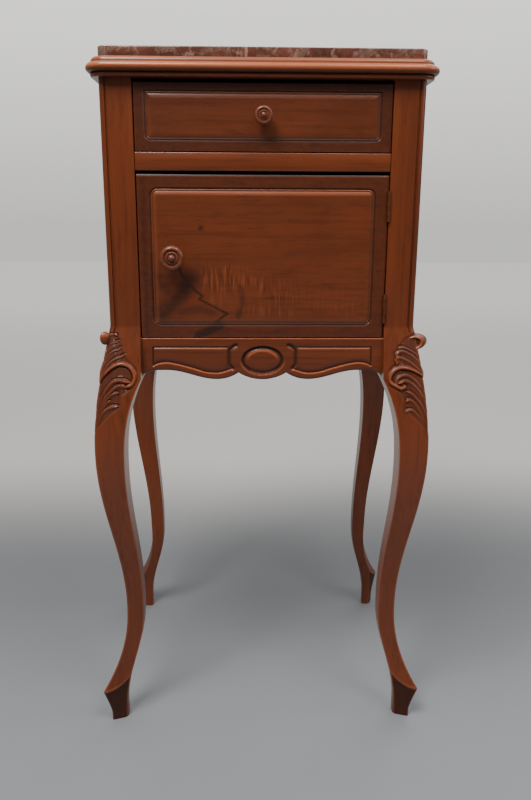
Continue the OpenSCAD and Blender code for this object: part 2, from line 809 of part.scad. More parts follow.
module drawer_kicker(side)
    difference() {
        translate([side > 0 ? runner_x0 : -rail_x0, -open_hd, kicker_z])
            cube([runner_w, 2 * open_hd, top_z - kicker_z]);
        top_screw_places() screw_hole(screw_r, top_screw_l);
    }
module drawer_kicker_left() { color([0.66, 0.48, 0.30]) drawer_kicker(-1); }
module drawer_kicker_right() { color([0.66, 0.48, 0.30]) drawer_kicker(1); }

stop_w = 22;
stop_d = 12;
stop_x = 88;
module drawer_stops() {
    color([0.60, 0.42, 0.25]) both()
        translate([stop_x - stop_w / 2, face_y + front_t + slide_gap, run_z])
            cube([stop_w, stop_d, stop_h]);
}

door_stop_t = 8;
door_stop_d = 12;
door_stop_margin = 30;
module door_stop() {
    color([0.60, 0.42, 0.25])
        translate([-open_hw, face_y + door_t + slide_gap, sill_z + door_stop_margin])
            cube([door_stop_t, door_stop_d, door_open_h - 2 * door_stop_margin]);
}

// ---- Drawer ----

drawer_y1 = back_y0 - drawer_space;
front_tail_y = face_y + front_t;
back_tail_y = drawer_y1 - side_t;
stop_gap = 1.5;                         // between the stops and the drawer's bottom
bottom_z = run_z + stop_h + stop_gap;
back_z0 = bottom_z + bottom_t;
side_groove = 5;
front_lap = 6;                          // wood left before the front dovetails
tail_l = front_t - front_lap;
tail_neck = 0.3;                        // half width of a tail's neck, for a pitch of 1
tail_slope = 2;

// Dovetails seen from the side: they narrow towards the drawer side's own wood.
// dir is -1 at the front and 1 at the back; y is where the tails begin.
module tail_row(y, dir, l, z0, z1, grow = 0) {
    pitch = (z1 - z0) / tails;
    for (i = [0:tails - 1]) let (z = z0 + pitch * (i + 0.5), w = tail_neck * pitch)
        polygon([[y - dir * over, z - w - grow], [y - dir * over, z + w + grow],
            [y, z + w + grow], [y + dir * (l + grow), z + w + tail_slope + grow],
            [y + dir * (l + grow), z - w - tail_slope - grow], [y, z - w - grow]]);
}

module drawer_tails(dir, grow = 0)
    both() translate([leaf_hw - side_t - grow, 0, 0]) rotate([90, 0, 90])
        linear_extrude(side_t + 2 * grow) {
            if (dir < 0) tail_row(front_tail_y, -1, tail_l, back_z0, side_z1, grow);
            if (dir > 0) tail_row(back_tail_y, 1, side_t, back_z0, side_z1, grow);
        }

module drawer_bottom_blank(grow = 0)
    block([-leaf_hw + side_t - side_groove - grow, front_tail_y - side_groove - grow, bottom_z - grow],
        [leaf_hw - side_t + side_groove + grow, drawer_y1 + grow, bottom_z + bottom_t + grow]);

// The sunk moulding round a raised field: a deep line outside and a shallow one inside
module field_outline(lo, hi, border)
    rounded(lo + border * [1, 1], hi - border * [1, 1], field_r - border);
module field_line(lo, hi, start, depth)
    upright(face_y - over, over + depth) difference() {
        field_outline(lo, hi, start);
        field_outline(lo, hi, start + line_w);
    }
module field_cut(lo, hi) {
    field_line(lo, hi, 0, field_d);
    field_line(lo, hi, field_w - line_w, field_d / 2);
}

knob_tenon_r = 4;
knob_tenon_l = 10;
knob_screw_r = 1.8;
knob_screw_tip = 14;                       // how far the screw goes into the knob

// A turned knob with its back on z = 0. Its profile is given in shares of the knob's
// radius and height: foot and neck, a large bead, two rings and a button.
module knob(d) {
    r = d / 2;
    h = 0.86 * d;
    difference() {
        union() {
            rotate_extrude() polygon(concat(
                [[0, 0], [0.60 * r, 0], [0.60 * r, 0.09 * h], [0.50 * r, 0.14 * h],
                    [0.44 * r, 0.26 * h], [0.50 * r, 0.40 * h]],
                [for (i = [0:arc_steps]) let (a = -70 + 150 * i / arc_steps)
                    [0.72 * r + 0.28 * r * cos(a), 0.66 * h + 0.19 * h * sin(a)]],
                [[0.66 * r, 0.83 * h], [0.60 * r, 0.78 * h], [0.54 * r, 0.80 * h],
                    [0.40 * r, 0.84 * h], [0.36 * r, 0.80 * h], [0.31 * r, 0.80 * h]],
                [for (i = [0:arc_steps / 2]) let (a = 15 * i)
                    [0.30 * r * cos(a), 0.82 * h + 0.18 * h * sin(a)]]));
            translate([0, 0, -knob_tenon_l]) cylinder(r = knob_tenon_r, h = knob_tenon_l + over);
        }
        translate([0, 0, -knob_tenon_l - over])
            cylinder(r = knob_screw_r + bore_gap, h = over + knob_screw_tip);
    }
}
// Sets a knob or its screw, drawn upwards, so that it points out of the front
module at_front(x, z) translate([x, face_y, z]) rotate([90, 0, 0]) children();

module knob_bore(t) {
    translate([0, 0, -knob_tenon_l - fit])
        cylinder(r = knob_tenon_r + fit, h = knob_tenon_l + fit + over);
    translate([0, 0, -t]) wood_screw(knob_screw_r + fit, t);
    translate([0, 0, -t - over]) cylinder(r = 2 * (knob_screw_r + fit), h = over);
}
module knob_screw(t) {
    translate([0, 0, -t]) slotted_screw(knob_screw_r, t - knob_tenon_l + knob_screw_tip);
}

drawer_knob_z = (front_z0 + front_z1) / 2 + drawer_knob_up;
door_knob_x = -leaf_hw + door_knob_in;
door_knob_z = sill_z + door_knob_up;

module drawer_front() {
    color([0.36, 0.15, 0.08]) difference() {
        block([-leaf_hw, face_y, front_z0], [leaf_hw, front_tail_y, front_z1]);
        drawer_tails(-1, fit);
        drawer_bottom_blank(fit);
        field_cut([-leaf_hw + drawer_margin, front_z0 + drawer_margin_low],
            [leaf_hw - drawer_margin, front_z1 - drawer_margin_top]);
        at_front(0, drawer_knob_z) knob_bore(front_t);
    }
}

module drawer_side(side) {
    difference() {
        union() {
            translate([side > 0 ? leaf_hw - side_t : -leaf_hw, front_tail_y, side_z0])
                cube([side_t, back_tail_y - front_tail_y, side_z1 - side_z0]);
            intersection() {
                union() {
                    drawer_tails(-1);
                    drawer_tails(1);
                }
                translate([side > 0 ? 0 : -body_w, -body_d, 0]) cube([body_w, 2 * body_d, top_z]);
            }
            translate([side > 0 ? leaf_hw - side_t : -leaf_hw, back_tail_y - over, side_z0])
                cube([side_t, side_t + over, back_z0 - side_z0 - fit]);
        }
        drawer_bottom_blank(fit);
    }
}
module drawer_side_left() { color([0.68, 0.50, 0.32]) drawer_side(-1); }
module drawer_side_right() { color([0.68, 0.50, 0.32]) drawer_side(1); }

module drawer_back() {
    color([0.68, 0.50, 0.32]) difference() {
        block([-leaf_hw, back_tail_y, back_z0 + fit], [leaf_hw, drawer_y1, side_z1]);
        drawer_tails(1, fit);
    }
}

module drawer_bottom() { color([0.70, 0.55, 0.38]) drawer_bottom_blank(); }
module drawer_knob() { color([0.40, 0.17, 0.08]) at_front(0, drawer_knob_z) knob(drawer_knob_d); }
module drawer_knob_screw() {
    color([0.70, 0.58, 0.30]) at_front(0, drawer_knob_z) knob_screw(front_t);
}

// ---- Door ----

hinge_x = open_hw - side_gap / 2;       // the hinge line stands just proud of the posts
hinge_proud = 1;
hinge_y = -hd - hinge_proud;
hinge_zs = [door_z0 + hinge_inset, door_z1 - hinge_inset - hinge_l];
leaf_gap = barrel_r + hard_gap;
leaf_screw_r = 1.2;
leaf_screw_l = 11;
leaf_stagger = 1.75;                    // of the screws, to either side of the leaf's middle
knuckle_gap = 0.15;                     // left at each end of a knuckle
pin_head_r = barrel_r - hard_gap;
pin_head_h = 0.8;

// A hinge leaf: side 1 lies on the post, side -1 on the door's edge
function leaf_x(side) = side > 0 ? open_hw : leaf_hw;
module leaf_seat(z, side)
    translate([side > 0 ? leaf_x(side) - over : leaf_x(side) - leaf_t, hinge_y - over, z - fit])
        cube([leaf_t + over, over + leaf_w + fit, hinge_l + 2 * fit]);
module barrel_seat(z)
    translate([hinge_x, hinge_y, z - hard_gap])
        cylinder(r = leaf_gap, h = hinge_l + pin_head_h + 2 * hard_gap);

module leaf_screw_places(z, side)
    for (i = [0:2])
        translate([leaf_x(side), hinge_y + (leaf_gap + leaf_w) / 2 + (i == 1 ? 1 : -1) * leaf_stagger,
            z + hinge_l * (1 + 2 * i) / 6])
            rotate([0, side * 90, 0]) children();

// Even knuckles belong to the post's leaf, odd ones to the door's
module hinge_leaf(z, side) {
    step = hinge_l / knuckles;
    difference() {
        union() {
            translate([side > 0 ? leaf_x(side) : leaf_x(side) - leaf_t, hinge_y + leaf_gap, z])
                cube([leaf_t, leaf_w - leaf_gap, hinge_l]);
            for (i = [side > 0 ? 0 : 1:2:knuckles - 1]) {
                z0 = z + step * i + (i > 0 ? knuckle_gap : 0);
                z1 = z + step * (i + 1) - (i < knuckles - 1 ? knuckle_gap : 0);
                translate([hinge_x, hinge_y, z0]) cylinder(r = barrel_r, h = z1 - z0);
                translate([side > 0 ? leaf_x(side) : leaf_x(side) - leaf_t, hinge_y, z0])
                    cube([leaf_t, leaf_gap + over, z1 - z0]);
            }
        }
        translate([hinge_x, hinge_y, z - over])
            cylinder(r = pin_r + (side > 0 ? 0 : pin_gap), h = hinge_l + 2 * over);
        leaf_screw_places(z, side) screw_hole(leaf_screw_r, leaf_screw_l);
    }
}
module hinge_leaf_post_upper() { color([0.55, 0.42, 0.20]) hinge_leaf(hinge_zs[1], 1); }
module hinge_leaf_post_lower() { color([0.55, 0.42, 0.20]) hinge_leaf(hinge_zs[0], 1); }
module hinge_leaf_door_upper() { color([0.60, 0.46, 0.22]) hinge_leaf(hinge_zs[1], -1); }
module hinge_leaf_door_lower() { color([0.60, 0.46, 0.22]) hinge_leaf(hinge_zs[0], -1); }

module hinge_pins() {
    color([0.50, 0.38, 0.18]) for (z = hinge_zs) translate([hinge_x, hinge_y, z]) {
        cylinder(r = pin_r, h = hinge_l);
        translate([0, 0, hinge_l]) cylinder(r = pin_head_r, h = pin_head_h);
    }
}
module hinge_screws_post() {
    color([0.70, 0.58, 0.30]) for (z = hinge_zs)
        leaf_screw_places(z, 1) slotted_screw(leaf_screw_r, leaf_screw_l);
}
module hinge_screws_door() {
    color([0.70, 0.58, 0.30]) for (z = hinge_zs)
        leaf_screw_places(z, -1) slotted_screw(leaf_screw_r, leaf_screw_l);
}

// Ball catch in the door's left edge, at the height of the knob
catch_y = face_y + door_t / 2;
catch_z = door_knob_z;
ball_x = -leaf_hw - ball_out + ball_r;
lip_t = 0.4;                            // the lip holds the ball in
lip_r = sqrt(ball_r * ball_r - pow(ball_r - ball_out - lip_t, 2)) + fit;
case_wall = ball_r + fit;
spring_wire = 0.5;
module at_catch() translate([-leaf_hw, catch_y, catch_z]) rotate([0, 90, 0]) children();

module catch_case() {
    color([0.72, 0.58, 0.28]) at_catch() difference() {
        cylinder(r = catch_r, h = catch_l);
        translate([0, 0, -over]) cylinder(r = lip_r, h = over + lip_t);
        translate([0, 0, lip_t]) cylinder(r = case_wall, h = catch_l - 2 * lip_t);
    }
}
module catch_ball() {
    color([0.75, 0.75, 0.75]) translate([ball_x, catch_y, catch_z]) sphere(ball_r);
}
// The spring, drawn as the sleeve that its turns fill, from the ball to the case's end
module catch_spring() {
    seat = ball_r - sqrt(ball_r * ball_r - pow(ball_r - 2 * spring_wire, 2));
    z0 = ball_x + leaf_hw + ball_r - seat + fit;
    color([0.60, 0.60, 0.62]) at_catch() translate([0, 0, z0]) difference() {
        cylinder(r = ball_r - spring_wire, h = catch_l - lip_t - z0);
        translate([0, 0, -over]) cylinder(r = ball_r - 2 * spring_wire, h = catch_l + 2 * over);
    }
}

strike_w = 11;
strike_l = 26;
strike_t = 1;
strike_hole_r = 2.9;
strike_hole_d = 4;
strike_screw_r = 1.2;
strike_screw_l = 11;
strike_screw_pitch = 17;
module at_strike() translate([-open_hw, catch_y, catch_z]) rotate([0, -90, 0]) children();
module strike_blank(grow = 0)
    at_strike() translate([-strike_l / 2 - grow, -strike_w / 2 - grow, 0])
        cube([strike_l + 2 * grow, strike_w + 2 * grow, strike_t]);
module strike_screw_places()
    for (s = [-1, 1]) at_strike() translate([s * strike_screw_pitch / 2, 0, 0]) children();
module strike_seat() {
    strike_blank(fit);
    at_strike() cylinder(r = strike_hole_r, h = strike_hole_d);
}
module catch_strike() {
    color([0.72, 0.58, 0.28]) difference() {
        strike_blank();
        at_strike() translate([0, 0, -over]) cylinder(r = strike_hole_r, h = strike_t + 2 * over);
        strike_screw_places() screw_hole(strike_screw_r, strike_screw_l);
    }
}
module strike_screws() {
    color([0.70, 0.58, 0.30]) strike_screw_places() slotted_screw(strike_screw_r, strike_screw_l);
}

module door_board() {
    color([0.34, 0.14, 0.08]) difference() {
        block([-leaf_hw, face_y, door_z0], [leaf_hw, face_y + door_t, door_z1]);
        field_cut([-leaf_hw + door_margin, door_z0 + door_margin],
            [leaf_hw - door_margin, door_z1 - door_margin]);
        at_front(door_knob_x, door_knob_z) knob_bore(door_t);
        at_catch() translate([0, 0, -over]) cylinder(r = catch_r + bore_gap, h = over + catch_l);
        for (z = hinge_zs) {
            leaf_seat(z, -1);
            barrel_seat(z);
            leaf_screw_places(z, -1) screw_hole(leaf_screw_r, leaf_screw_l);
        }
    }
}
module door_knob() {
    color([0.40, 0.17, 0.08]) at_front(door_knob_x, door_knob_z) knob(door_knob_d);
}
module door_knob_screw() {
    color([0.70, 0.58, 0.30]) at_front(door_knob_x, door_knob_z) knob_screw(door_t);
}

marble_top();
top_moulding_front();
top_moulding_left();
top_moulding_right();
top_back_rail();
top_dowels();
top_screws();
front_leg_left();
front_leg_right();
rear_leg_left();
rear_leg_right();
apron_front();
drawer_rail();
side_rail_left();
side_rail_right();
side_apron_left();
side_apron_right();
side_panel_left();
side_panel_right();
back_rail_top();
back_rail_bottom();
back_panel();
cupboard_floor();
floor_cleat_left();
floor_cleat_right();
glue_blocks();
dust_board();
drawer_runner_left();
drawer_runner_right();
drawer_guide_left();
drawer_guide_right();
drawer_kicker_left();
drawer_kicker_right();
drawer_stops();
door_stop();
drawer_front();
drawer_side_left();
drawer_side_right();
drawer_back();
drawer_bottom();
drawer_knob();
drawer_knob_screw();
door_board();
door_knob();
door_knob_screw();
hinge_leaf_post_upper();
hinge_leaf_post_lower();
hinge_pins();
hinge_screws_post();
hinge_leaf_door_upper();
hinge_leaf_door_lower();
hinge_screws_door();
catch_case();
catch_spring();
catch_ball();
catch_strike();
strike_screws();
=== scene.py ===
"""Bedside pot cupboard: the looks of every piece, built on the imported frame."""

import math
from functools import cache

import bmesh
import bpy
from mathutils import Matrix, Vector


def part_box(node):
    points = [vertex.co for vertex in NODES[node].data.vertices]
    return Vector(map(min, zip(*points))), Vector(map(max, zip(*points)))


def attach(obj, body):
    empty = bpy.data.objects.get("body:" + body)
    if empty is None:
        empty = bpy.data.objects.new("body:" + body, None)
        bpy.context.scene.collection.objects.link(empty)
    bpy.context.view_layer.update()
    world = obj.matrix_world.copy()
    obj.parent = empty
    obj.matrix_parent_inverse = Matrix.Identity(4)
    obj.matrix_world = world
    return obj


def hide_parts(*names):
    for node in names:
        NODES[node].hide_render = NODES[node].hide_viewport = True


bl_info = {
    "name": "Bedside pot cupboard",
    "version": (1, 0, 0),
    "blender": (4, 5, 0),
    "location": "3D View > Sidebar > Pot cupboard",
    "description": "Builds a carved bedside pot cupboard with a marble top",
    "category": "Add Mesh",
}

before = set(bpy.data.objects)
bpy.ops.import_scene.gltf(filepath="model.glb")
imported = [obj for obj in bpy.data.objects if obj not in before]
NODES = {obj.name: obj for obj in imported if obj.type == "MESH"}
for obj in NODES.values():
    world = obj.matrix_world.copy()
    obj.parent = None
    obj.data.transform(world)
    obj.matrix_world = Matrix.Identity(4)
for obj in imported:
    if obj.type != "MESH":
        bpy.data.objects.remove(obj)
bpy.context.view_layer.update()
MM = 0.001

# Places read from the frame, in metres
MARBLE_LO, MARBLE_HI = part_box("marble_top")
MOULD_LO, MOULD_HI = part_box("top_moulding_front")
APRON_LO, APRON_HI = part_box("apron_front")
DRAWER_LO, DRAWER_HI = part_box("drawer_front")
DOOR_LO, DOOR_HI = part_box("door_board")
HW, HD = MARBLE_HI.x, MARBLE_HI.y       # outer faces of the posts
TOP_Z = MOULD_LO.z                      # underside of the top frame
SILL_Z = APRON_HI.z                     # top of the apron
FACE_Y = APRON_LO.y                     # front face of the apron and the rails
OVERHANG = -MOULD_LO.y - HD
APRON_LOW = APRON_LO.z                  # lowest points of the apron's edge
MARBLE_SINK = MOULD_HI.z - MARBLE_LO.z  # how deep the slab lies in the frame
CORNER = 10 * MM                        # plan radius of the slab's front corners
POST_W = 37.4 * MM                      # width of the square posts
OPEN_W, OPEN_D = HW - POST_W, HD - POST_W           # between the posts
BRACKET_Z = APRON_LOW + 3.2 * MM        # where the aprons meet the legs
KNEE_TOP = 545 * MM                     # where the knee begins to swell from the post


# ---- Sizes and colours ----

def length(name, description, default):
    return bpy.props.FloatProperty(name=name, description=description, default=default,
                                   unit="LENGTH", precision=4)


def shade(name, description, default):
    return bpy.props.FloatVectorProperty(name=name, description=description, default=default,
                                         subtype="COLOR", min=0, max=1)


class CupboardLegSizes(bpy.types.PropertyGroup):
    knee_out: length("Knee", "How far the knee stands out past the post", 21.7 * MM)
    knee_z: length("Knee height", "Height at which the knee stands out furthest", 390 * MM)
    ankle_in: length("Ankle", "How far the ankle is drawn in behind the post", 4.4 * MM)
    ankle_z: length("Ankle height", "Height of the thinnest place", 165 * MM)
    toe_out: length("Toe", "How far the toe stands out past the post", 28.5 * MM)
    toe_z: length("Toe height", "Height of the ridge across the toe, at the corner", 49 * MM)
    toe_rise: length("Toe rise", "How much higher that ridge is at the inner side", 19 * MM)
    toe_round: length("Toe round", "How much the toe draws back towards its inner side", 7 * MM)
    sole_out: length("Sole", "How far the sole stands out past the post", 21 * MM)
    front_less: length("Front feet", "How much less they stand out forwards", 9.5 * MM)
    back_less: length("Back feet", "How much less they stand out backwards", 3 * MM)
    back_slim: length("Back legs", "How much slimmer the back legs are", 2 * MM)
    arris: length("Arris", "Radius of the legs' worn edges", 1.6 * MM)
    bead: length("Bead", "Radius of the bead down a post's corner", 6.3 * MM)
    quirk: length("Quirk", "Depth of the quirk beside that bead", 1.8 * MM)
    relief: bpy.props.FloatProperty(name="Relief", default=1.0, min=0, max=1.5,
                                    description="Share of the carving's full height")


class CupboardFrontSizes(bpy.types.PropertyGroup):
    door_margin: length("Door margin", "Margin round the door's raised field", 14.6 * MM)
    drawer_margin: length("Drawer margin", "Margin beside the drawer's field", 11.6 * MM)
    drawer_low: length("Drawer low margin", "Margin under the drawer's field", 11.2 * MM)
    drawer_top: length("Drawer top margin", "Margin over the drawer's field", 8.6 * MM)
    door_round: length("Door field corner", "Corner radius of the door's field", 9.5 * MM)
    drawer_round: length("Drawer field corner", "Corner radius of the drawer's field", 6.5 * MM)
    drawer_knob: length("Drawer knob", "Diameter of the drawer's knob", 20.8 * MM)
    door_knob: length("Door knob", "Diameter of the door's knob", 28.4 * MM)


class CupboardFinishes(bpy.types.PropertyGroup):
    case_light: shade("Case, light", "Lightest colour of the case", (0.188, 0.0405, 0.0098))
    case_dark: shade("Case, dark", "Colour of the grain in the case", (0.066, 0.0130, 0.0040))
    front_light: shade("Fronts, light", "Lightest colour of the fronts", (0.180, 0.0385, 0.0096))
    front_dark: shade("Fronts, dark", "Darkest figure of the fronts", (0.026, 0.0075, 0.0036))
    knob_light: shade("Knobs, light", "Lightest colour of the knobs", (0.20, 0.058, 0.028))
    knob_dark: shade("Knobs, dark", "Grain of the knobs", (0.075, 0.020, 0.010))
    inner_light: shade("Inside, light", "Lightest colour of the inner wood", (0.40, 0.24, 0.115))
    inner_dark: shade("Inside, dark", "Grain of the plain inner wood", (0.22, 0.115, 0.05))
    marble_body: shade("Marble", "Main colour of the marble", (0.105, 0.033, 0.021))
    marble_spot: shade("Marble, mottling", "Pale mottling of the marble", (0.33, 0.215, 0.16))
    brass_tone: shade("Brass", "Colour of hinges, strike and screws", (0.21, 0.072, 0.031))
    steel_tone: shade("Steel", "Colour of the catch's ball and spring", (0.50, 0.50, 0.50))


class CupboardStage(bpy.types.PropertyGroup):
    camera_place: bpy.props.FloatVectorProperty(
        name="Camera", description="Where the camera stands", subtype="XYZ", unit="LENGTH",
        default=(-0.0198, -1.029, 0.6823))
    pitch: bpy.props.FloatProperty(name="Pitch", description="How far the camera looks down",
                                   subtype="ANGLE", default=math.radians(14.576))
    turn: bpy.props.FloatProperty(name="Turn", description="How far it looks to the right",
                                  subtype="ANGLE", default=0.0269)
    roll: bpy.props.FloatProperty(name="Roll", description="How far it leans",
                                  subtype="ANGLE", default=-0.0052)
    lens: bpy.props.FloatProperty(name="Lens", description="Focal length in millimetres",
                                  default=732.3 / 800 * 36)


# ---- Working in edit mode ----

def deselect():
    if bpy.context.mode != "OBJECT":
        bpy.ops.object.mode_set(mode="OBJECT")
    bpy.ops.object.select_all(action="DESELECT")


def take(obj):
    deselect()
    obj.select_set(True)
    bpy.context.view_layer.objects.active = obj
    return obj


def begin(name):
    """Names the primitive that was just added."""
    obj = bpy.context.view_layer.objects.active
    obj.name = obj.data.name = name
    return obj


class Editing:
    """Edit mode on one piece, with its mesh open for picking faces, edges and points."""

    def __init__(self, obj):
        self.obj = take(obj)

    def __enter__(self):
        bpy.ops.object.mode_set(mode="EDIT")
        self.mesh = bmesh.from_edit_mesh(self.obj.data)
        return self

    def __exit__(self, *problem):
        bpy.ops.object.mode_set(mode="OBJECT")

    def pick(self, kind, test):
        """Selects just the parts of one kind that pass the test."""
        self.mesh = bmesh.from_edit_mesh(self.obj.data)
        kinds = {"VERT": self.mesh.verts, "EDGE": self.mesh.edges, "FACE": self.mesh.faces}
        bpy.context.tool_settings.mesh_select_mode = tuple(k == kind for k in kinds)
        self.mesh.select_mode = {kind}
        bpy.ops.mesh.select_all(action="DESELECT")
        for part in kinds[kind]:
            if test(part):
                part.select_set(True)
        self.mesh.select_flush_mode()
        bmesh.update_edit_mesh(self.obj.data)

    def move(self, place):
        """Sets each selected point to what place gives for it."""
        self.mesh = bmesh.from_edit_mesh(self.obj.data)
        for v in self.mesh.verts:
            if v.select:
                v.co = place(v.co)
        bmesh.update_edit_mesh(self.obj.data)

    def all(self):
        bpy.ops.mesh.select_all(action="SELECT")

    def close(self):
        """Merges doubles, fills what is open and turns all faces outwards."""
        self.all()
        bpy.ops.mesh.remove_doubles(threshold=1e-5)
        bpy.ops.mesh.fill_holes(sides=0)
        self.all()
        bpy.ops.mesh.normals_make_consistent(inside=False)


def settle(obj, node, finish, body="case"):
    """Smooths a piece, puts its finish on and lets it ride on its body for a CAD node."""
    take(obj)
    bpy.ops.object.transform_apply(location=True, rotation=True, scale=True)
    bpy.ops.object.shade_smooth_by_angle(angle=math.radians(35))
    obj.data.materials.clear()
    obj.data.materials.append(finish)
    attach(obj, body)
    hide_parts(node)


def ease(t):
    """A cosine rise from 0 to 1."""
    return (1 - math.cos(math.pi * t)) / 2


def step(lo, hi, x):
    """0 below lo, 1 above hi and a soft rise between them."""
    t = min(max((x - lo) / (hi - lo), 0), 1)
    return t * t * (3 - 2 * t)


def drape(name, columns, rows, place, marks):
    """A fine grid whose crossings are set one by one; marks gives each its painted shade, painted
    highlights and other marks.
    """
    deselect()
    bpy.ops.mesh.primitive_grid_add(x_subdivisions=columns, y_subdivisions=rows, size=1,
                                    calc_uvs=False)
    obj = begin(name)
    spots = [(round((v.co.x + 0.5) * columns), round((v.co.y + 0.5) * rows))
             for v in obj.data.vertices]
    for v, (i, j) in zip(obj.data.vertices, spots):
        v.co = place(i, j)
    for attribute, value in marks.items():
        layer = obj.data.attributes.new(attribute, "FLOAT", "POINT")
        layer.data.foreach_set("value", [value(i, j) for i, j in spots])
    return obj


def mark(obj, name, value):
    """Gives every point of a piece one mark, such as its painted shade, by its place."""
    layer = obj.data.attributes.new(name, "FLOAT", "POINT")
    layer.data.foreach_set("value", [value(v.co) for v in obj.data.vertices])


def pull_back(face, y):
    """Gives a draped face its thickness: its rim is pulled back to y and closed there."""
    with Editing(face) as edit:
        edit.pick("EDGE", lambda e: e.is_boundary)
        bpy.ops.mesh.extrude_region_move()
        edit.move(lambda co: Vector((co.x, y, co.z)))
        edit.close()


def chain(name, points, closed=False):
    """A line of edges through the points, extruded one from the other."""
    deselect()
    bpy.ops.mesh.primitive_plane_add(size=0.001, calc_uvs=False)
    obj = begin(name)
    with Editing(obj) as edit:
        edit.all()
        bpy.ops.mesh.merge(type="CENTER")
        edit.all()
        edit.move(lambda co: Vector(points[0]))
        for a, b in zip(points, points[1:]):
            bpy.ops.mesh.extrude_vertices_move(
                TRANSFORM_OT_translate={"value": Vector(b) - Vector(a)})
        if closed:
            edit.all()
            bpy.ops.mesh.edge_face_add()
    return obj


def turned(name, profile, centre, axis, across, steps=64):
    """A turned piece: a profile of (radius, height) pairs spun round an axis."""
    axis, across = Vector(axis).normalized(), Vector(across).normalized()
    obj = chain(name, [Vector(centre) + across * r + axis * h for r, h in profile])
    with Editing(obj) as edit:
        edit.all()
        bpy.ops.mesh.spin(steps=steps, angle=2 * math.pi, center=centre, axis=axis)
        edit.close()
    return obj


def block(name, lo, hi):
    """A cube stretched from its lowest to its highest corner, to be worked further."""
    deselect()
    bpy.ops.mesh.primitive_cube_add(size=1, location=(Vector(lo) + Vector(hi)) / 2)
    obj = begin(name)
    obj.scale = Vector(hi) - Vector(lo)
    take(obj)
    bpy.ops.object.transform_apply(location=True, rotation=True, scale=True)
    return obj


def board(name, lo, hi, easing):
    """A board with eased edges."""
    obj = block(name, lo, hi)
    with Editing(obj) as edit:
        edit.all()
        bpy.ops.mesh.bevel(offset=easing, segments=3, profile=0.5)
        edit.close()
    return obj


ARCH_RISE, ARCH_TURN = 8.6 * MM, 19.6 * MM      # of the plain aprons, beside the legs


def arched_rail(name, half, lo, hi, sideways):
    """A rail whose lower edge is level, with a quarter turn down at each end. It reaches half
    to either side of the middle; lo and hi give its height and thickness."""
    line = []
    for i in range(13):
        a = math.radians(90 * i / 12)
        line.append((half - ARCH_TURN + ARCH_TURN * math.sin(a),
                     BRACKET_Z + ARCH_RISE * math.cos(a)))
    outline = line + [(half, hi.z), (-half, hi.z)] + [(-u, z) for u, z in reversed(line)]
    face, thick = (lo.x, hi.x - lo.x) if sideways else (lo.y, hi.y - lo.y)
    obj = chain(name, [(face, u, z) if sideways else (u, face, z) for u, z in outline],
                closed=True)
    with Editing(obj) as edit:
        edit.all()
        away = (thick, 0, 0) if sideways else (0, thick, 0)
        bpy.ops.mesh.extrude_region_move(TRANSFORM_OT_translate={"value": away})
        edit.close()
        edit.pick("EDGE", lambda e: e.calc_face_angle(0) > math.radians(60))
        bpy.ops.mesh.bevel(offset=0.8 * MM, segments=3, profile=0.5)
        edit.close()
    return obj


# ---- Finishes ----

class Wire:
    """A shader socket that takes sums and products as Math nodes."""

    def __init__(self, paint, socket):
        self.paint, self.socket = paint, socket

    def maths(self, operation, *values):
        return self.paint.node("ShaderNodeMath", {"operation": operation}, *values)[0]

    def __add__(self, other):
        return self.maths("ADD", self, other)

    def __sub__(self, other):
        return self.maths("SUBTRACT", self, other)

    def __rsub__(self, other):
        return self.maths("SUBTRACT", other, self)

    def __mul__(self, other):
        return self.maths("MULTIPLY", self, other)

    def __abs__(self):
        return self.maths("ABSOLUTE", self)

    __radd__, __rmul__ = __add__, __mul__

    def between(self, lo, hi):
        """0 below lo, 1 above hi and a soft rise from one to the other."""
        return self.paint.node("ShaderNodeMapRange", {"interpolation_type": "SMOOTHSTEP"},
                               Value=self, **{"From Min": lo, "From Max": hi})[0]


class Paint:
    """One material and the nodes that make it up."""

    def __init__(self, name):
        self.material = bpy.data.materials.new(name)
        self.material.use_nodes = True
        self.tree = self.material.node_tree
        self.shader = self.tree.nodes["Principled BSDF"]

    def node(self, kind, settings=None, *values, **named):
        made = self.tree.nodes.new(kind)
        for key, value in (settings or {}).items():
            setattr(made, key, value)
        for place, value in [*enumerate(values), *named.items()]:
            self.put(made.inputs[place], value)
        return [Wire(self, s) for s in made.outputs if s.enabled]

    def put(self, socket, value):
        if isinstance(value, Wire):
            self.tree.links.new(value.socket, socket)
        else:
            socket.default_value = value

    def set(self, **values):
        for name, value in values.items():
            self.put(self.shader.inputs[name.replace("_", " ")], value)

    def place(self, turn=(0, 0, 0)):
        """Object coordinates, turned so that the pattern suits the piece."""
        coords = self.node("ShaderNodeTexCoord")[3]
        return self.node("ShaderNodeMapping", {}, coords, (0, 0, 0), turn)[0]

    def stretch(self, vector, by):
        return self.node("ShaderNodeVectorMath", {"operation": "MULTIPLY"}, vector, by)[0]

    def noise(self, vector, by, detail=3.0, roughness=0.55, distortion=0.0):
        """Noise with its own scale along each axis, from 0 to 1."""
        return self.node("ShaderNodeTexNoise", {}, Vector=self.stretch(vector, by), Scale=1.0,
                         Detail=detail, Roughness=roughness, Distortion=distortion)[0]

    def blend(self, share, first, second):
        """Two colours, mixed by a share."""
        made = self.tree.nodes.new("ShaderNodeMix")
        made.data_type = "RGBA"
        self.put(made.inputs[0], share)
        for socket, value in ((made.inputs[6], first), (made.inputs[7], second)):
            self.put(socket, value if isinstance(value, Wire) else (*value[:3], 1))
        return Wire(self, made.outputs[2])

    def attribute(self, name):
        return self.node("ShaderNodeAttribute", {"attribute_name": name})[2]

    def bump(self, height, strength, distance):
        return self.node("ShaderNodeBump", {}, Strength=strength, Distance=distance,
                         Height=height)[0]

    def axes(self, vector):
        return self.node("ShaderNodeSeparateXYZ", {}, vector)


GRAIN_TURN = {"X": (0, math.pi / 2, 0), "Y": (math.pi / 2, 0, 0), "Z": (0, 0, 0)}


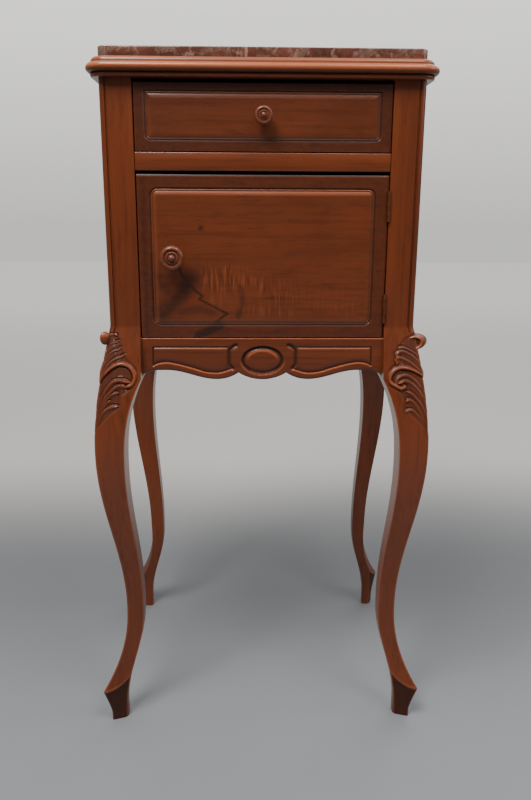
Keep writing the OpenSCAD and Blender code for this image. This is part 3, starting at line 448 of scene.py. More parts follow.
def tint(colour, by, up=0):
    """A colour made lighter or darker."""
    return tuple(min(1, c * by + up) for c in colour)


def polished_wood(name, light, dark, grain, carved=False, figure_and_shade=None, gloss=0.34, coat=0.45):
    """Warm polished wood: clouds, growth lines, streaks, flecks and pores along the grain.
    A carved one takes painted shade with some grime, and painted highlights with some wear, from
    the marks on the piece."""
    paint = Paint(name)
    at = paint.place(GRAIN_TURN[grain])
    clouds = paint.noise(at, (7, 7, 2.5), 2, 0.5)
    lines = paint.noise(at, (34, 34, 2.2), 3, 0.6, 0.5)
    streaks = paint.noise(at, (260, 260, 7), 4, 0.6)
    pores = paint.noise(at, (1500, 1500, 60), 2, 0.6)
    tone = (clouds * 0.8 + lines * 0.9 + streaks * 0.35 - 0.52).between(0.1, 0.82)
    if figure_and_shade:
        tone = tone * 0.45 + 0.40
    middle = tuple(a * 0.45 + b * 0.55 for a, b in zip(light, dark))
    colour = paint.blend(tone, middle, light)
    colour = paint.blend((1 - streaks).between(0.50, 0.75) * (0.24 if figure_and_shade else 0.42), colour,
                         dark)
    flecks = paint.noise(at, (110, 110, 22), 4, 0.7)
    colour = paint.blend(flecks.between(0.50, 0.72) * 0.34, colour, dark)
    pits = pores.between(0.60, 0.72)
    colour = paint.blend(pits * 0.25, colour, tint(dark, 0.6))
    if figure_and_shade:
        colour = figure_and_shade(paint, colour, light, dark)
    height = streaks * 0.3 - pits * 0.5
    roughness = 0.24 + gloss * 0.25 + streaks * 0.10 + pits * 0.10
    if carved:
        # Painted shade, with some grime, darkens the marked hollows; painted highlights, with some
        # wear, lighten the marked crests and upper edges.
        shade_and_dirt, highlight_and_wear = paint.attribute("shade_and_dirt"), paint.attribute("highlight_and_wear")
        colour = paint.blend(shade_and_dirt * 0.85, colour, tint(dark, 0.32))
        sheen_and_wear = tuple(min(1, c * 2.1 + up) for c, up in zip(light, (0.05, 0.035, 0.022)))
        colour = paint.blend(highlight_and_wear * (0.45 + streaks * 0.5), colour, sheen_and_wear)
        roughness = roughness + shade_and_dirt * 0.42 - highlight_and_wear * 0.05
        coat = coat - shade_and_dirt * (0.8 * coat)
    paint.set(Base_Color=colour, Roughness=roughness, Coat_Weight=coat, Coat_Roughness=0.2,
              Specular_IOR_Level=0.36, Normal=paint.bump(height, 0.3, 0.0003))
    return paint.material


def veneer_figure(paint, colour, light, dark):
    """The fronts' veneer: soft clouds, and the dark marks and gleams drawn on the board; the dark
    marks are figure, with painted shade along some edges.
    """
    at = paint.place()
    clouds = paint.noise(at, (11, 11, 15), 3, 0.55, 0.6)
    ragged = paint.noise(at, (130, 130, 170), 4, 0.65)
    fibre = paint.noise(at, (9, 9, 120), 4, 0.6, 0.5)
    dashes = paint.noise(at, (380, 380, 42), 2, 0.5)
    colour = paint.blend(clouds.between(0.46, 0.74) * 0.45, colour, tint(light, 0.55))
    colour = paint.blend((1 - fibre).between(0.5, 0.8) * 0.16, colour, dark)
    # The marked dark lines are figure, and painted shade along some edges of the boards.
    figure_and_shade = (paint.attribute("figure_and_shade") * (0.55 + ragged * 0.9)).between(0.02, 1.0)
    colour = paint.blend(figure_and_shade * 0.92, colour, dark)
    gleam = paint.attribute("gleam") * clouds.between(0.3, 0.6)
    colour = paint.blend(gleam * (1 - dashes).between(0.5, 0.66) * 0.6, colour, dark)
    return paint.blend(gleam * dashes.between(0.5, 0.68) * 0.7, colour, tint(light, 1.9, 0.01))


@cache
def wood(kind, grain):
    """One of the cupboard's woods, its grain along X, Y or Z; made once and shared."""
    f = bpy.context.scene.cupboard_finishes
    name, light, dark, looks = {
        "case": ("polished_wood_{}", f.case_light, f.case_dark, {}),
        "carved": ("carved_wood_{}", f.case_light, f.case_dark, {"carved": True, "coat": 0.32}),
        "front": ("figured_veneer", f.front_light, f.front_dark,
                  {"carved": True, "figure_and_shade": veneer_figure}),
        "knob": ("turned_knob_wood", f.knob_light, f.knob_dark, {"gloss": 0.1, "coat": 0.4}),
        "inner": ("bare_inner_wood_{}", f.inner_light, f.inner_dark, {"gloss": 1.0, "coat": 0.0}),
    }[kind]
    return polished_wood(name.format(grain.lower()), light, dark, grain, **looks)


def red_marble():
    f = bpy.context.scene.cupboard_finishes
    paint = Paint("red_brown_marble")
    at = paint.place()
    drift = paint.noise(at, (8, 8, 8), 4, 0.6, 0.9)
    blots = paint.noise(at, (34, 34, 34), 5, 0.66, 1.6)
    spots = paint.noise(at, (95, 95, 95), 5, 0.64, 1.0)
    fine = paint.noise(at, (320, 320, 320), 4, 0.6)
    colour = paint.blend(drift.between(0.35, 0.7), tint(f.marble_body, 0.75),
                         tint(f.marble_body, 1.7))
    grey = tuple(c * k for c, k in zip(f.marble_spot, (0.62, 0.66, 0.68)))
    colour = paint.blend(blots.between(0.46, 0.70) * 0.8, colour, grey)
    colour = paint.blend(spots.between(0.50, 0.70) * 0.75, colour, f.marble_spot)
    colour = paint.blend(fine.between(0.52, 0.75) * 0.45, colour, tint(f.marble_body, 0.4))
    x, y, _ = paint.axes(at)
    wander = paint.noise(at, (60, 60, 60), 2) * 0.006
    bend = (paint.noise(at, (9, 9, 9), 3) - 0.5) * y.between(-0.155, 0.1) * 0.22
    vein = (1 - abs(x + 0.0165 + wander + bend).between(0.0, 0.0022)) * (
        1 - y.between(-0.14, 0.02) * 0.7)
    branch = 1 - abs(x - y * 0.6 - 0.071 + wander * 3 + bend).between(0.0, 0.0014)
    colour = paint.blend(vein * 0.55 + branch * 0.25, colour, tint(f.marble_spot, 1.5))
    paint.set(Base_Color=colour, Roughness=0.18 + spots * 0.16, Coat_Weight=0.3,
              Coat_Roughness=0.1, Normal=paint.bump(fine, 0.06, 0.0003))
    return paint.material


def aged_metal(name, tone, gloss):
    paint = Paint(name)
    at = paint.place()
    tarnish = paint.noise(at, (160, 160, 160), 4, 0.6)
    scratches = paint.noise(at, (900, 900, 60), 3, 0.6)
    colour = paint.blend(tarnish.between(0.40, 0.70) * 0.7, tone, tint(tone, 0.35))
    paint.set(Base_Color=colour, Metallic=0.8, Roughness=gloss + tarnish * 0.35,
              Normal=paint.bump(scratches, 0.12, 0.0002))
    return paint.material


def refinish(finish, *names):
    """Puts a finish on CAD pieces that keep their shape."""
    for name in names:
        data = NODES[name].data
        data.materials.clear()
        data.materials.append(finish)


# ---- Marble and moulding ----

class CUPBOARD_OT_marble(bpy.types.Operator):
    """Marble slab with round front corners and eased edges"""
    bl_idname = "cupboard.marble"
    bl_label = "Marble slab"

    def execute(self, context):
        slab = block("marble_slab", MARBLE_LO, MARBLE_HI)
        with Editing(slab) as edit:
            edit.pick("EDGE", lambda e: all(v.co.y < 0 for v in e.verts)
                      and abs(e.verts[0].co.x - e.verts[1].co.x) < 1e-6
                      and abs(e.verts[0].co.z - e.verts[1].co.z) > 1e-6)
            bpy.ops.mesh.bevel(offset=CORNER, segments=14, profile=0.5)
            edit.pick("FACE", lambda f: abs(f.normal.z) > 0.9)
            bpy.ops.mesh.region_to_loop()
            bpy.ops.mesh.bevel(offset=1.4 * MM, segments=4, profile=0.5)
            edit.close()
        settle(slab, "marble_top", red_marble())
        return {"FINISHED"}


SMALL_BEAD, BEAD, QUARTER = 2.6 * MM, 5 * MM, 5 * MM
GAP = 0.3 * MM                          # round the slab
BOARD_W = 52 * MM                       # width of the frame's boards
# Painted highlights along the bead and the quarter round, and painted shade in the quirks and
# under
# the bead: height above the post and half width in millimetres, and strength
MOULDING_MARKS = {"highlight_and_wear": ((12.4, 3.4, 1.6), (19.8, 2.0, 0.9)),
                  "shade_and_dirt": ((15.5, 0.5, 0.6), (5.1, 0.5, 0.6), (7, 1.2, 0.3))}


def arc(x, z, wide, high, start, end, steps):
    """Points of an elliptic arc, between two angles in degrees."""
    turns = [math.radians(start + (end - start) * i / steps) for i in range(steps + 1)]
    return [(x + wide * math.cos(a), z + high * math.sin(a)) for a in turns]


def moulding_profile(inner):
    """The moulding's section, as (distance out from the post, height) pairs."""
    height, out = MOULD_HI.z - TOP_Z, OVERHANG - BEAD
    up = 2 * SMALL_BEAD + BEAD
    low = up + BEAD + 0.6 * MM
    return ([(-inner, 0)]
            + arc(out - SMALL_BEAD, SMALL_BEAD, SMALL_BEAD, SMALL_BEAD, -90, 70, 10)
            + arc(out, up, BEAD, BEAD, -76, 84, 18)
            + arc(out - 1 * MM - QUARTER, low, QUARTER, height - low, 0, 90, 12)
            + [(GAP, height), (GAP, height - MARBLE_SINK), (-inner, height - MARBLE_SINK)])


def moulding_length(name, start, end, out, corners):
    """The section, drawn along a straight run and swung round half a corner at its ends."""
    out = Vector(out)
    section = [Vector((*start, TOP_Z + z)) + out * (r + CORNER)
               for r, z in moulding_profile(CORNER)]
    piece = chain(name, section + section[:1])
    with Editing(piece) as edit:
        edit.all()
        bpy.ops.mesh.remove_doubles(threshold=1e-6)
        edit.all()
        run = Vector((*end, 0)) - Vector((*start, 0))
        bpy.ops.mesh.extrude_region_move(TRANSFORM_OT_translate={"value": run})
        for (x, y), angle in corners:
            centre, along = Vector((x, y, 0)), run.normalized()
            reach = centre.dot(along)
            edit.pick("EDGE", lambda e: all(abs(v.co.dot(along) - reach) < 1e-5 for v in e.verts))
            turn = Matrix.Rotation(angle / 10, 3, "Z")
            for _ in range(10):
                bpy.ops.mesh.extrude_region_move()
                edit.move(lambda co: centre + turn @ (co - centre))
        edit.close()
    # The moulding's painted highlights and painted shade.
    for layer, lines in MOULDING_MARKS.items():
        mark(piece, layer, lambda co: max(
            share * math.exp(-(((co.z - TOP_Z) / MM - level) / wide) ** 2)
            for level, wide, share in lines))
    return piece


def inner_board(name, corners, z0, z1):
    """A flat board with mitred ends, from a face that is drawn and pulled up."""
    flat = chain(name, [(x, y, z0) for x, y in corners], closed=True)
    with Editing(flat) as edit:
        edit.all()
        bpy.ops.mesh.extrude_region_move(TRANSFORM_OT_translate={"value": (0, 0, z1 - z0)})
        edit.close()
    return flat


def join(first, other):
    take(first)
    other.select_set(True)
    bpy.ops.object.join()
    return first


class CUPBOARD_OT_moulding(bpy.types.Operator):
    """Moulded frame under the marble: a front and two sides, mitred at the round corners"""
    bl_idname = "cupboard.moulding"
    bl_label = "Top moulding"

    def execute(self, context):
        half_corner = math.pi / 4
        x, y, level = HW - CORNER, HD - CORNER, MOULD_HI.z - MARBLE_SINK
        inner_x, inner_y = HW - BOARD_W, HD - BOARD_W
        front = moulding_length("moulding_front", (-x, -y), (x, -y), (0, -1, 0),
                                [((x, -y), half_corner), ((-x, -y), -half_corner)])
        flat = inner_board("front_board", [(-x, -y), (x, -y), (inner_x, -inner_y),
                                           (-inner_x, -inner_y)], TOP_Z, level)
        settle(join(front, flat), "top_moulding_front", wood("carved", "X"))
        for side, name in ((-1, "left"), (1, "right")):
            piece = moulding_length("moulding_" + name, (side * x, HD), (side * x, -y),
                                    (side, 0, 0), [((side * x, -y), -side * half_corner)])
            flat = inner_board("side_board", [(side * x, HD), (side * x, -y),
                                              (side * inner_x, -inner_y), (side * inner_x, HD)],
                               TOP_Z, level)
            settle(join(piece, flat), "top_moulding_" + name, wood("carved", "Y"))
        return {"FINISHED"}


# ---- Legs ----

# The knees' carving: each stroke runs from its blunt tip to its tail, as (distance from the
# corner, height) in millimetres, then the stroke's half width and height.
LEFT_STROKES = [
    ("band", [(0, 478), (3.0, 484.5), (8.6, 492.5), (15.4, 498.3), (23, 500.4), (30.8, 498.6),
              (37.3, 494), (41.2, 487.5), (42, 481), (39.2, 475.5), (35.5, 473.4)], 2.9, 2.9),
    ("ball", [(35.2, 473.6), (36.6, 474.4)], 2.3, 3.6),
    ("leaf", [(37.7, 478.3), (27.9, 480.9), (19.5, 480.4), (13.9, 476.3), (8.8, 467.9),
              (4.9, 457.4), (2, 448)], 2.6, 2.7),
    ("leaf", [(34.5, 472.6), (28.7, 474.7), (21.7, 473.1), (15.2, 466.9), (9.6, 459.4),
              (5.6, 450), (3, 441)], 2.5, 2.5),
    ("leaf", [(25.0, 466.3), (20.4, 465.1), (15.9, 462.6), (10.8, 456.3), (6.4, 447.3),
              (3, 437)], 2.3, 2.2),
    ("leaf", [(16.5, 456.4), (11.6, 452.4), (7.4, 444.8), (4, 434)], 2.0, 1.5),
    ("leaf", [(26.7, 450.0), (20.5, 449.0), (13.4, 445.8), (7.6, 439.4), (3.6, 428.7),
              (2, 419)], 2.4, 2.0),
    ("leaf", [(25.5, 512), (21.2, 508.6), (15.2, 506.4), (9.8, 502.2), (5.4, 495.9), (2, 488)],
     2.0, 1.3),
    ("leaf", [(20, 520.5), (15.9, 517.1), (10.8, 515.3), (6.4, 511.4), (3, 505)], 1.8, 1.0),
    ("leaf", [(16, 528.5), (11.2, 525.6), (7, 524.7), (2, 520)], 1.6, 0.9),
    ("leaf", [(11.6, 534.6), (7.3, 535.6), (2.6, 534), (0, 530)], 1.9, 1.5),
]
RIGHT_STROKES = [
    ("band", [(0, 484.6), (7.4, 490.6), (16.3, 494.8), (26.8, 495.8), (36.1, 491.7),
              (41.7, 484.3), (41.6, 478.0), (35.8, 473.8), (29.9, 470.6)], 2.9, 2.9),
    ("ball", [(25.4, 473.2), (27.2, 471.6)], 2.5, 3.6),
    ("leaf", [(36.1, 474.6), (34.5, 480.4), (29.5, 485.2), (20.3, 486.6), (12, 481.6),
              (5, 472)], 2.4, 2.5),
    ("leaf", [(32.0, 477.2), (24.0, 480.2), (15.9, 477.0), (8.6, 468.6), (3, 458)], 2.5, 2.5),
    ("leaf", [(22.9, 467.2), (18.0, 464.8), (12.3, 458.6), (6.8, 450), (3, 441)], 2.3, 2.3),
    ("leaf", [(25.4, 455.7), (21.6, 457), (17.1, 454.8), (12.3, 448.2), (8.0, 438.4),
              (4, 427)], 2.4, 2.2),
    ("leaf", [(27.6, 442.9), (21.1, 444.6), (16, 441.6), (10.8, 434.3), (6.4, 425)], 2.3, 1.9),
    ("leaf", [(31.0, 499.9), (30.1, 505.4), (26.4, 508.2), (19.6, 506.0), (11.4, 500.6),
              (4, 493)], 2.5, 2.4),
    ("leaf", [(29.4, 507.4), (27.9, 512.1), (23.6, 515.5), (17.1, 514.5), (9.3, 509.6),
              (2, 502)], 2.5, 2.2),
    ("leaf", [(24.9, 519.2), (19.8, 520.3), (13.2, 517.9), (6.4, 513.8), (0, 508)], 2.0, 1.6),
]
# Right-hand limit of each knee's carved ground, as (height, distance from the corner)
LEFT_GROUND = [(545, 0), (539, 6), (534, 13.4), (521.7, 18.6), (510, 26), (500, 36), (494.9, 43),
               (480, 45), (470, 40), (462, 30), (448, 29), (436, 16), (422, 4), (410, 0)]
RIGHT_GROUND = [(540, -6), (536, 4), (531, 15), (521.8, 24.6), (511.4, 30.1), (501, 33.1),
                (494, 41), (484, 45), (474, 43), (466, 33), (455, 28), (446, 30), (436, 20),
                (422, 6), (410, 0)]


# Radius, width, centre, axis and stretch of the scroll over each knee, and whether its ends
# are hollowed
LEFT_EAR = (6.8, 9, (-190.4, -149.5, 531), (1, -1, 0), (1, 1, 1.2), False)
RIGHT_EAR = (9.2, 19, (189.5, -141.8, 526), (0.3, 1, 0), (1.36, 1, 1), True)
CARVED_LOW, CARVED_HIGH = 405 * MM, 540 * MM
# The inner face of a leg: heights in order from the floor, then how far in it lies
SOLE_RIM, HEEL, SHIN_LOW, SHIN_HIGH, CALF = 12 * MM, 20 * MM, 158 * MM, 175 * MM, 365 * MM
SOLE_IN, SHIN_IN, CALF_LESS, BRACKET_MORE = 1 * MM, 26.8 * MM, 12.6 * MM, 23.2 * MM
TOE_CURVE = 2.3                         # how suddenly the foot turns outwards


def smooth(line):
    """The same line with rounded bends: each stretch in four, after Catmull and Rom."""
    ends = [line[0], *line, line[-1]]
    fine = []
    for a, b, c, d in zip(ends, ends[1:], ends[2:], ends[3:]):
        for t in (0, 0.25, 0.5, 0.75):
            fine.append(tuple(
                (2 * q + (r - p) * t + (2 * p - 5 * q + 4 * r - u) * t * t
                 + (3 * q - p - 3 * r + u) * t ** 3) / 2 for p, q, r, u in zip(a, b, c, d)))
    return fine + [line[-1]]


def nearest(line, s, z):
    """Distance to a line of points, the side of it (positive above a line drawn to the left)
    and the share along it."""
    best, found = 1e9, None
    total = len(line) - 1
    for k in range(total):
        (ax, az), (bx, bz) = line[k], line[k + 1]
        dx, dz = bx - ax, bz - az
        t = min(max(((s - ax) * dx + (z - az) * dz) / (dx * dx + dz * dz), 0), 1)
        px, pz = s - ax - dx * t, z - az - dz * t
        d = px * px + pz * pz
        if d < best:
            best, found = d, (dz * px - dx * pz, (k + t) / total)
    return math.sqrt(best), *found


def carving(strokes, ground):
    """A function that gives the relief, the painted shade with some grime, and the painted
    highlights with some wear, at a place on the knee.
    """
    strokes = [(kind, smooth(line), w, high) for kind, line, w, high in strokes]
    reaches = [(min(p[0] for p in line) - 3 * w, max(p[0] for p in line) + 3 * w,
                min(p[1] for p in line) - 3 * w, max(p[1] for p in line) + 3 * w)
               for _, line, w, _ in strokes]

    def limit(z):
        for (z1, s1), (z0, s0) in zip(ground, ground[1:]):
            if z0 <= z <= z1:
                return s0 + (s1 - s0) * (z - z0) / (z1 - z0)
        return 0

    def at(s, z):
        rise = dip = shade_and_dirt = highlight_and_wear = 0.0
        closest = 50.0
        sunk = 1 - step(-2.5, 1.5, s - limit(z))
        for (kind, line, width, high), (s0, s1, z0, z1) in zip(strokes, reaches):
            if not (s0 < s < s1 and z0 < z < z1):
                continue
            away, side, along = nearest(line, s, z)
            closest = min(closest, away)
            if kind == "ball":
                bump, w = high * max(0, 1 - (away / width) ** 2) ** 0.5, width
            elif kind == "band":
                w = width * (0.6 + 0.4 * step(0, 0.3, along))
                bump = high * max(0, 1 - (away / w) ** 2) ** 0.6 * step(-3, 8, s)
                if side > 0:
                    bump *= 1 - 0.3 * step(0, w, away)
            else:
                w = width * step(-0.10, 0.12, along) * (1 - 0.4 * along)
                here = high * (1 - 0.75 * along)
                if side > 0:
                    bump = here * max(0, 1 - (away / (0.55 * w)) ** 2)
                else:
                    bump = here * (1 - step(0.15 * w, 2.1 * w, away))
            fade = (1 if side > 0 else 0.3) if kind == "band" else 1 - 0.7 * along
            trench = fade * math.exp(-((away - w * 1.15) / 0.8) ** 2)
            # Painted highlights on the strokes' crests, painted shade in the trenches beside them.
            if bump > rise:
                rise = bump
                highlight_and_wear = step(0.80, 1.0, bump / high) * fade ** 0.5
                shade_and_dirt *= 1 - min(1, bump / (0.5 * high))
            elif bump < 0.35 * high:
                shade_and_dirt = max(shade_and_dirt, 0.9 * trench * (1 - min(1, rise / high)))
            dip = max(dip, trench * (1 - min(1, rise / 1.2)))
        # Painted shade, with some grime, on the sunk ground, streaked along the strokes.
        veins = math.cos(closest * 4.2) * math.exp(-((closest - 4) / 2.5) ** 2)
        sunk_shade_and_dirt = (0.45 - 0.22 * veins) * sunk * (1 - min(1, rise / 1.6))
        return (rise - 1.1 * dip - (0.8 - 0.22 * veins) * sunk, min(1, max(shade_and_dirt, sunk_shade_and_dirt)),
                highlight_and_wear * 0.9)
    return at


def leg(name, side, front, carved, S):
    """A cabriole leg with its post, lofted from the sole to the top."""
    slim = 0 if front else S.back_slim
    less = S.front_less if front else S.back_less

    def outer(z, u=0.0, less=0.0):
        """How far a face stands out at height z, at the share u of its width."""
        if z >= KNEE_TOP:
            return 0
        if z >= S.knee_z:
            return S.knee_out * math.sin(math.pi / 2 * (KNEE_TOP - z) / (KNEE_TOP - S.knee_z))
        if z >= S.ankle_z:
            t = (S.knee_z - z) / (S.knee_z - S.ankle_z)
            return S.knee_out - (S.knee_out + S.ankle_in) * ease(t)
        ridge = S.toe_z + S.toe_rise * u ** 2.2
        sole = S.sole_out - less - S.toe_round * u

        def over_toe(z):
            t = (S.ankle_z - z) / (S.ankle_z - S.toe_z)
            return (-S.ankle_in + (S.toe_out - less + S.ankle_in) * t ** TOE_CURVE
                    - S.toe_round * u ** 1.5 * t)

        if z >= ridge:
            return over_toe(z)
        if z > SOLE_RIM:
            t = (ridge - z) / (ridge - SOLE_RIM)
            return over_toe(ridge) - (over_toe(ridge) - sole) * (t * 1.35 - 0.35 * t * t)
        return sole

    def inner(z, less=0.0):
        """How far in the leg's inner face lies."""
        sole = SOLE_IN + less
        if z < HEEL:
            return sole - slim
        if z < SHIN_LOW:
            return sole - slim + (SHIN_IN - sole) * ease((z - HEEL) / (SHIN_LOW - HEEL))
        if z < SHIN_HIGH:
            return SHIN_IN - slim
        if z < CALF:
            return SHIN_IN - slim - CALF_LESS * ease((z - SHIN_HIGH) / (CALF - SHIN_HIGH))
        if z < BRACKET_Z:
            t = (z - CALF) / (BRACKET_Z - CALF)
            return SHIN_IN - CALF_LESS - slim * (1 - t) + BRACKET_MORE * t ** 2.6
        return POST_W

    def spread(lo, hi, gap):
        count = max(1, round((hi - lo) / gap))
        return [lo + (hi - lo) * i / count for i in range(count)]

    bead_end = 538 * MM if front else KNEE_TOP
    carved_rows = spread(400 * MM, bead_end, 0.75 * MM if carved else 6 * MM)
    heights = ([0, 0.8 * MM, 2 * MM, 4 * MM, 8 * MM, 11.5 * MM]
               + spread(12.5 * MM, 74 * MM, 1.6 * MM) + spread(74 * MM, 400 * MM, 6 * MM)
               + carved_rows + [bead_end])
    square_rows = len(heights)
    heights += [*spread(bead_end, 560 * MM, 2 * MM), *spread(560 * MM, TOP_Z, 40 * MM), TOP_Z]

    face_n, back_n = 64 if carved else 16, 8        # columns of an outer, of an inner face
    columns = 2 * face_n + 2 * back_n
    at = carving(*carved) if carved else None
    bead_way = [(S.bead * (1 - math.cos(math.radians(45 + 7.5 * i))),
                 S.bead * (1 - math.sin(math.radians(45 + 7.5 * i)))) for i in range(7)]
    bead_way += [(S.bead + 0.15 * MM, S.quirk), (S.bead + 2.4 * MM, S.quirk),
                 (S.bead + 2.6 * MM, 0.15 * MM), (S.bead + 2.8 * MM, 0)]
    table = {}

    def cut(s, z):
        """Relief, painted shade and painted highlights, worked out once for each place."""
        key = (round(s * 1e6), round(z * 1e6))
        if key not in table:
            rise, shade_and_dirt, highlight_and_wear = at(s / MM, z / MM)
            table[key] = (rise * MM * S.relief, shade_and_dirt, highlight_and_wear)
        return table[key]

    def along_face(k, beaded, wide):
        """Distance from the corner of column k, counted from the corner."""
        if beaded and k < len(bead_way):
            return bead_way[k]
        if beaded:
            start = bead_way[-1][0] + 0.3 * MM
            t = (k - len(bead_way)) / (face_n - len(bead_way))
            return start + (wide - start) * t, 0
        return wide * k / face_n, 0

    @cache
    def spot(i, j):
        """Inward distances from the post's two outer faces, and the marks."""
        z = heights[j]
        beaded = front and j >= square_rows
        i = i % columns
        shade_and_dirt = highlight_and_wear = 0.0
        foot = 1 - step(8 * MM, 46 * MM, z)
        end_r = (0.8 + 3.2 * foot) * MM
        across_in, deep_in = inner(z), inner(z, less)
        if i < 2 * face_n:
            first = i < face_n
            here_less, other_less = (less, 0) if first else (0, less)
            k = face_n - i if first else i - face_n
            start = outer(z, 0, other_less)
            reach = across_in if first else deep_in
            wide = start + reach
            s, sunk = along_face(k, beaded, wide)
            here = outer(z, min(1, s / wide), here_less)
            out, along = here - sunk, s - start
            r = 0 if beaded else S.arris + 3.6 * MM * foot
            if s < r:
                a = math.radians(45 + 45 * s / r)
                along = -start + r - r * math.cos(a)
                out = here - r + r * math.sin(a)
            end = wide - s
            if end < end_r:
                a = math.radians(45 + 45 * end / end_r)
                along = reach - end_r + end_r * math.cos(a)
                out = here - end_r + end_r * math.sin(a)
            if at and not beaded and CARVED_LOW < z < CARVED_HIGH:
                rise, shade_and_dirt, highlight_and_wear = cut(s, z)
                out += rise * step(0, 4 * MM, end)
                if s < 6 * MM:
                    along -= rise * (1 - s / (6 * MM)) * 0.6
            shin = 1 - step(120 * MM, 420 * MM, z)      # darker towards the floor
            shade_and_dirt = max(shade_and_dirt, (0.23 if front else 0.34) * shin)
            # Painted shade under the toe's ridge and a painted highlight along it.
            if z < 90 * MM:
                ridge = S.toe_z + S.toe_rise * min(1, s / wide) ** 2.2
                shade_and_dirt = max(shade_and_dirt, 0.95 * (1 - step(-3 * MM, 0.5 * MM, z - ridge)))
                highlight_and_wear = max(highlight_and_wear, 0.5 * math.exp(-((z - ridge - 1 * MM) / (1.6 * MM)) ** 2))
            if not beaded and s < 2.2 * MM:             # the worn arrises
                highlight_and_wear = max(highlight_and_wear, 0.3)
            # A painted highlight along the inner edges, below the aprons.
            if end < 1.4 * MM and z < BRACKET_Z:
                highlight_and_wear = max(highlight_and_wear, 0.4)
            return (along, -out, shade_and_dirt, highlight_and_wear) if first else (-out, along, shade_and_dirt, highlight_and_wear)
        k = i - 2 * face_n
        short = end_r * 0.3
        if k < back_n:
            far = outer(z, 1.0)
            return (-far + short + (across_in + far - short) * k / back_n,
                    deep_in - (short if k == 0 else 0), 0, 0)
        k -= back_n
        far = outer(z, 1.0, less)
        return (across_in - (short if k == 0 else 0),
                deep_in - (deep_in + far - short) * k / back_n, 0, 0)

    def place(i, j):
        u, v, _, _ = spot(i, j)
        return Vector((side * (HW - u), (-1 if front else 1) * (HD - v), heights[j]))

    obj = drape(name, columns, len(heights) - 1, place,
                {"shade_and_dirt": lambda i, j: spot(i, j)[2], "highlight_and_wear": lambda i, j: spot(i, j)[3]})
    with Editing(obj) as edit:
        edit.close()
    return obj


def rolled_ear(radius, width, centre, axis, stretch, hollowed):
    """The scroll at the top of the knee: a turned bud, or a roll with hollowed ends."""
    axis, centre = Vector(axis).normalized(), Vector(centre) * MM
    r, h = radius * MM, width / 2 * MM
    half = [(r * math.sin(math.radians(9 * i)), h * math.cos(math.radians(9 * i)))
            for i in range(10)]
    if hollowed:
        half = [(0, h - 2.2 * MM), (r * 0.22, h - 2.3 * MM), (r * 0.38, h - 3.1 * MM),
                (r * 0.50, h - 2.7 * MM), (r * 0.57, h - 1.4 * MM), (r * 0.64, h - 0.4 * MM),
                (r * 0.72, h), (r * 0.81, h - 0.3 * MM), (r * 0.90, h - 1.2 * MM),
                (r * 0.97, h - 2.8 * MM), (r, h - 4.6 * MM)]
    profile = half + [(r, 0)] + [(a, -b) for a, b in reversed(half)]
    ear = turned("ear", profile, centre, axis, (0, 0, 1), 48)
    with Editing(ear) as edit:
        edit.all()
        edit.move(lambda co: centre + Vector(a * b for a, b in zip(co - centre, stretch)))

    def share(co):
        """Distance from the axis, as a share of the radius."""
        return (co - centre - axis * (co - centre).dot(axis)).length / r

    # Painted shade inside the hollowed ends and a painted highlight on their rims; a bud gets a
    # painted highlight over its upper half.
    if hollowed:
        mark(ear, "shade_and_dirt", lambda co: 0.6 * (1 - step(0.5, 0.68, share(co))))
        mark(ear, "highlight_and_wear", lambda co: step(0.56, 0.68, share(co)) * (1 - step(0.8, 1, share(co))))
    else:
        mark(ear, "highlight_and_wear", lambda co: 0.6 * step(-0.2, 0.8, (co.z - centre.z) / r))
    return ear


class CUPBOARD_OT_front_legs(bpy.types.Operator):
    """Front legs with their posts, carved knees and rolled ears"""
    bl_idname = "cupboard.front_legs"
    bl_label = "Front legs"

    def execute(self, context):
        for side, name, carved, ear in (
                (-1, "left", (LEFT_STROKES, LEFT_GROUND), LEFT_EAR),
                (1, "right", (RIGHT_STROKES, RIGHT_GROUND), RIGHT_EAR)):
            piece = leg("leg_front_" + name, side, True, carved, context.scene.cupboard_legs)
            settle(join(piece, rolled_ear(*ear)), "front_leg_" + name, wood("carved", "Z"))
        return {"FINISHED"}


class CUPBOARD_OT_rear_legs(bpy.types.Operator):
    """Back legs with their posts, plain and slimmer"""
    bl_idname = "cupboard.rear_legs"
    bl_label = "Back legs"

    def execute(self, context):
        for side, name in ((-1, "left"), (1, "right")):
            piece = leg("leg_rear_" + name, side, False, None, context.scene.cupboard_legs)
            settle(piece, "rear_leg_" + name, wood("carved", "Z"))
        return {"FINISHED"}


# ---- Apron ----

def arc_rise(x, chord, high):
    """Rise of an arc at x from its lowest point; it has risen by high at chord."""
    radius = (chord * chord + high * high) / (2 * high)
    return radius - math.sqrt(radius * radius - x * x)


# The apron's lower edge, from the middle outwards, in millimetres: an arch up to its cusp, a
# lobe down again, a long rise to a level stretch and a quarter turn down to the leg
CUSP_X, CUSP_HIGH = 29.5, 8.6
LOBE_X, LOBE_HIGH = 56, 0.3
LEVEL_X, LEVEL_HIGH = 118, 11.8
TURN_X, TURN_HIGH = 128, 8.6
APRON_HALF = 147.6


def apron_edge(x):
    """Height of the apron's lower edge over its lowest point, in millimetres."""
    x = abs(x)
    if x <= CUSP_X:
        return arc_rise(x, CUSP_X, CUSP_HIGH)
    if x <= LOBE_X:
        return LOBE_HIGH + arc_rise(LOBE_X - x, LOBE_X - CUSP_X, CUSP_HIGH - LOBE_HIGH)
    if x <= LEVEL_X:
        return LOBE_HIGH + (LEVEL_HIGH - LOBE_HIGH) * ease((x - LOBE_X) / (LEVEL_X - LOBE_X))
    if x <= TURN_X:
        return LEVEL_HIGH
    t = (x - TURN_X) / (APRON_HALF - TURN_X)
    return LEVEL_HIGH - TURN_HIGH * (1 - math.sqrt(max(0, 1 - t ** 2)))


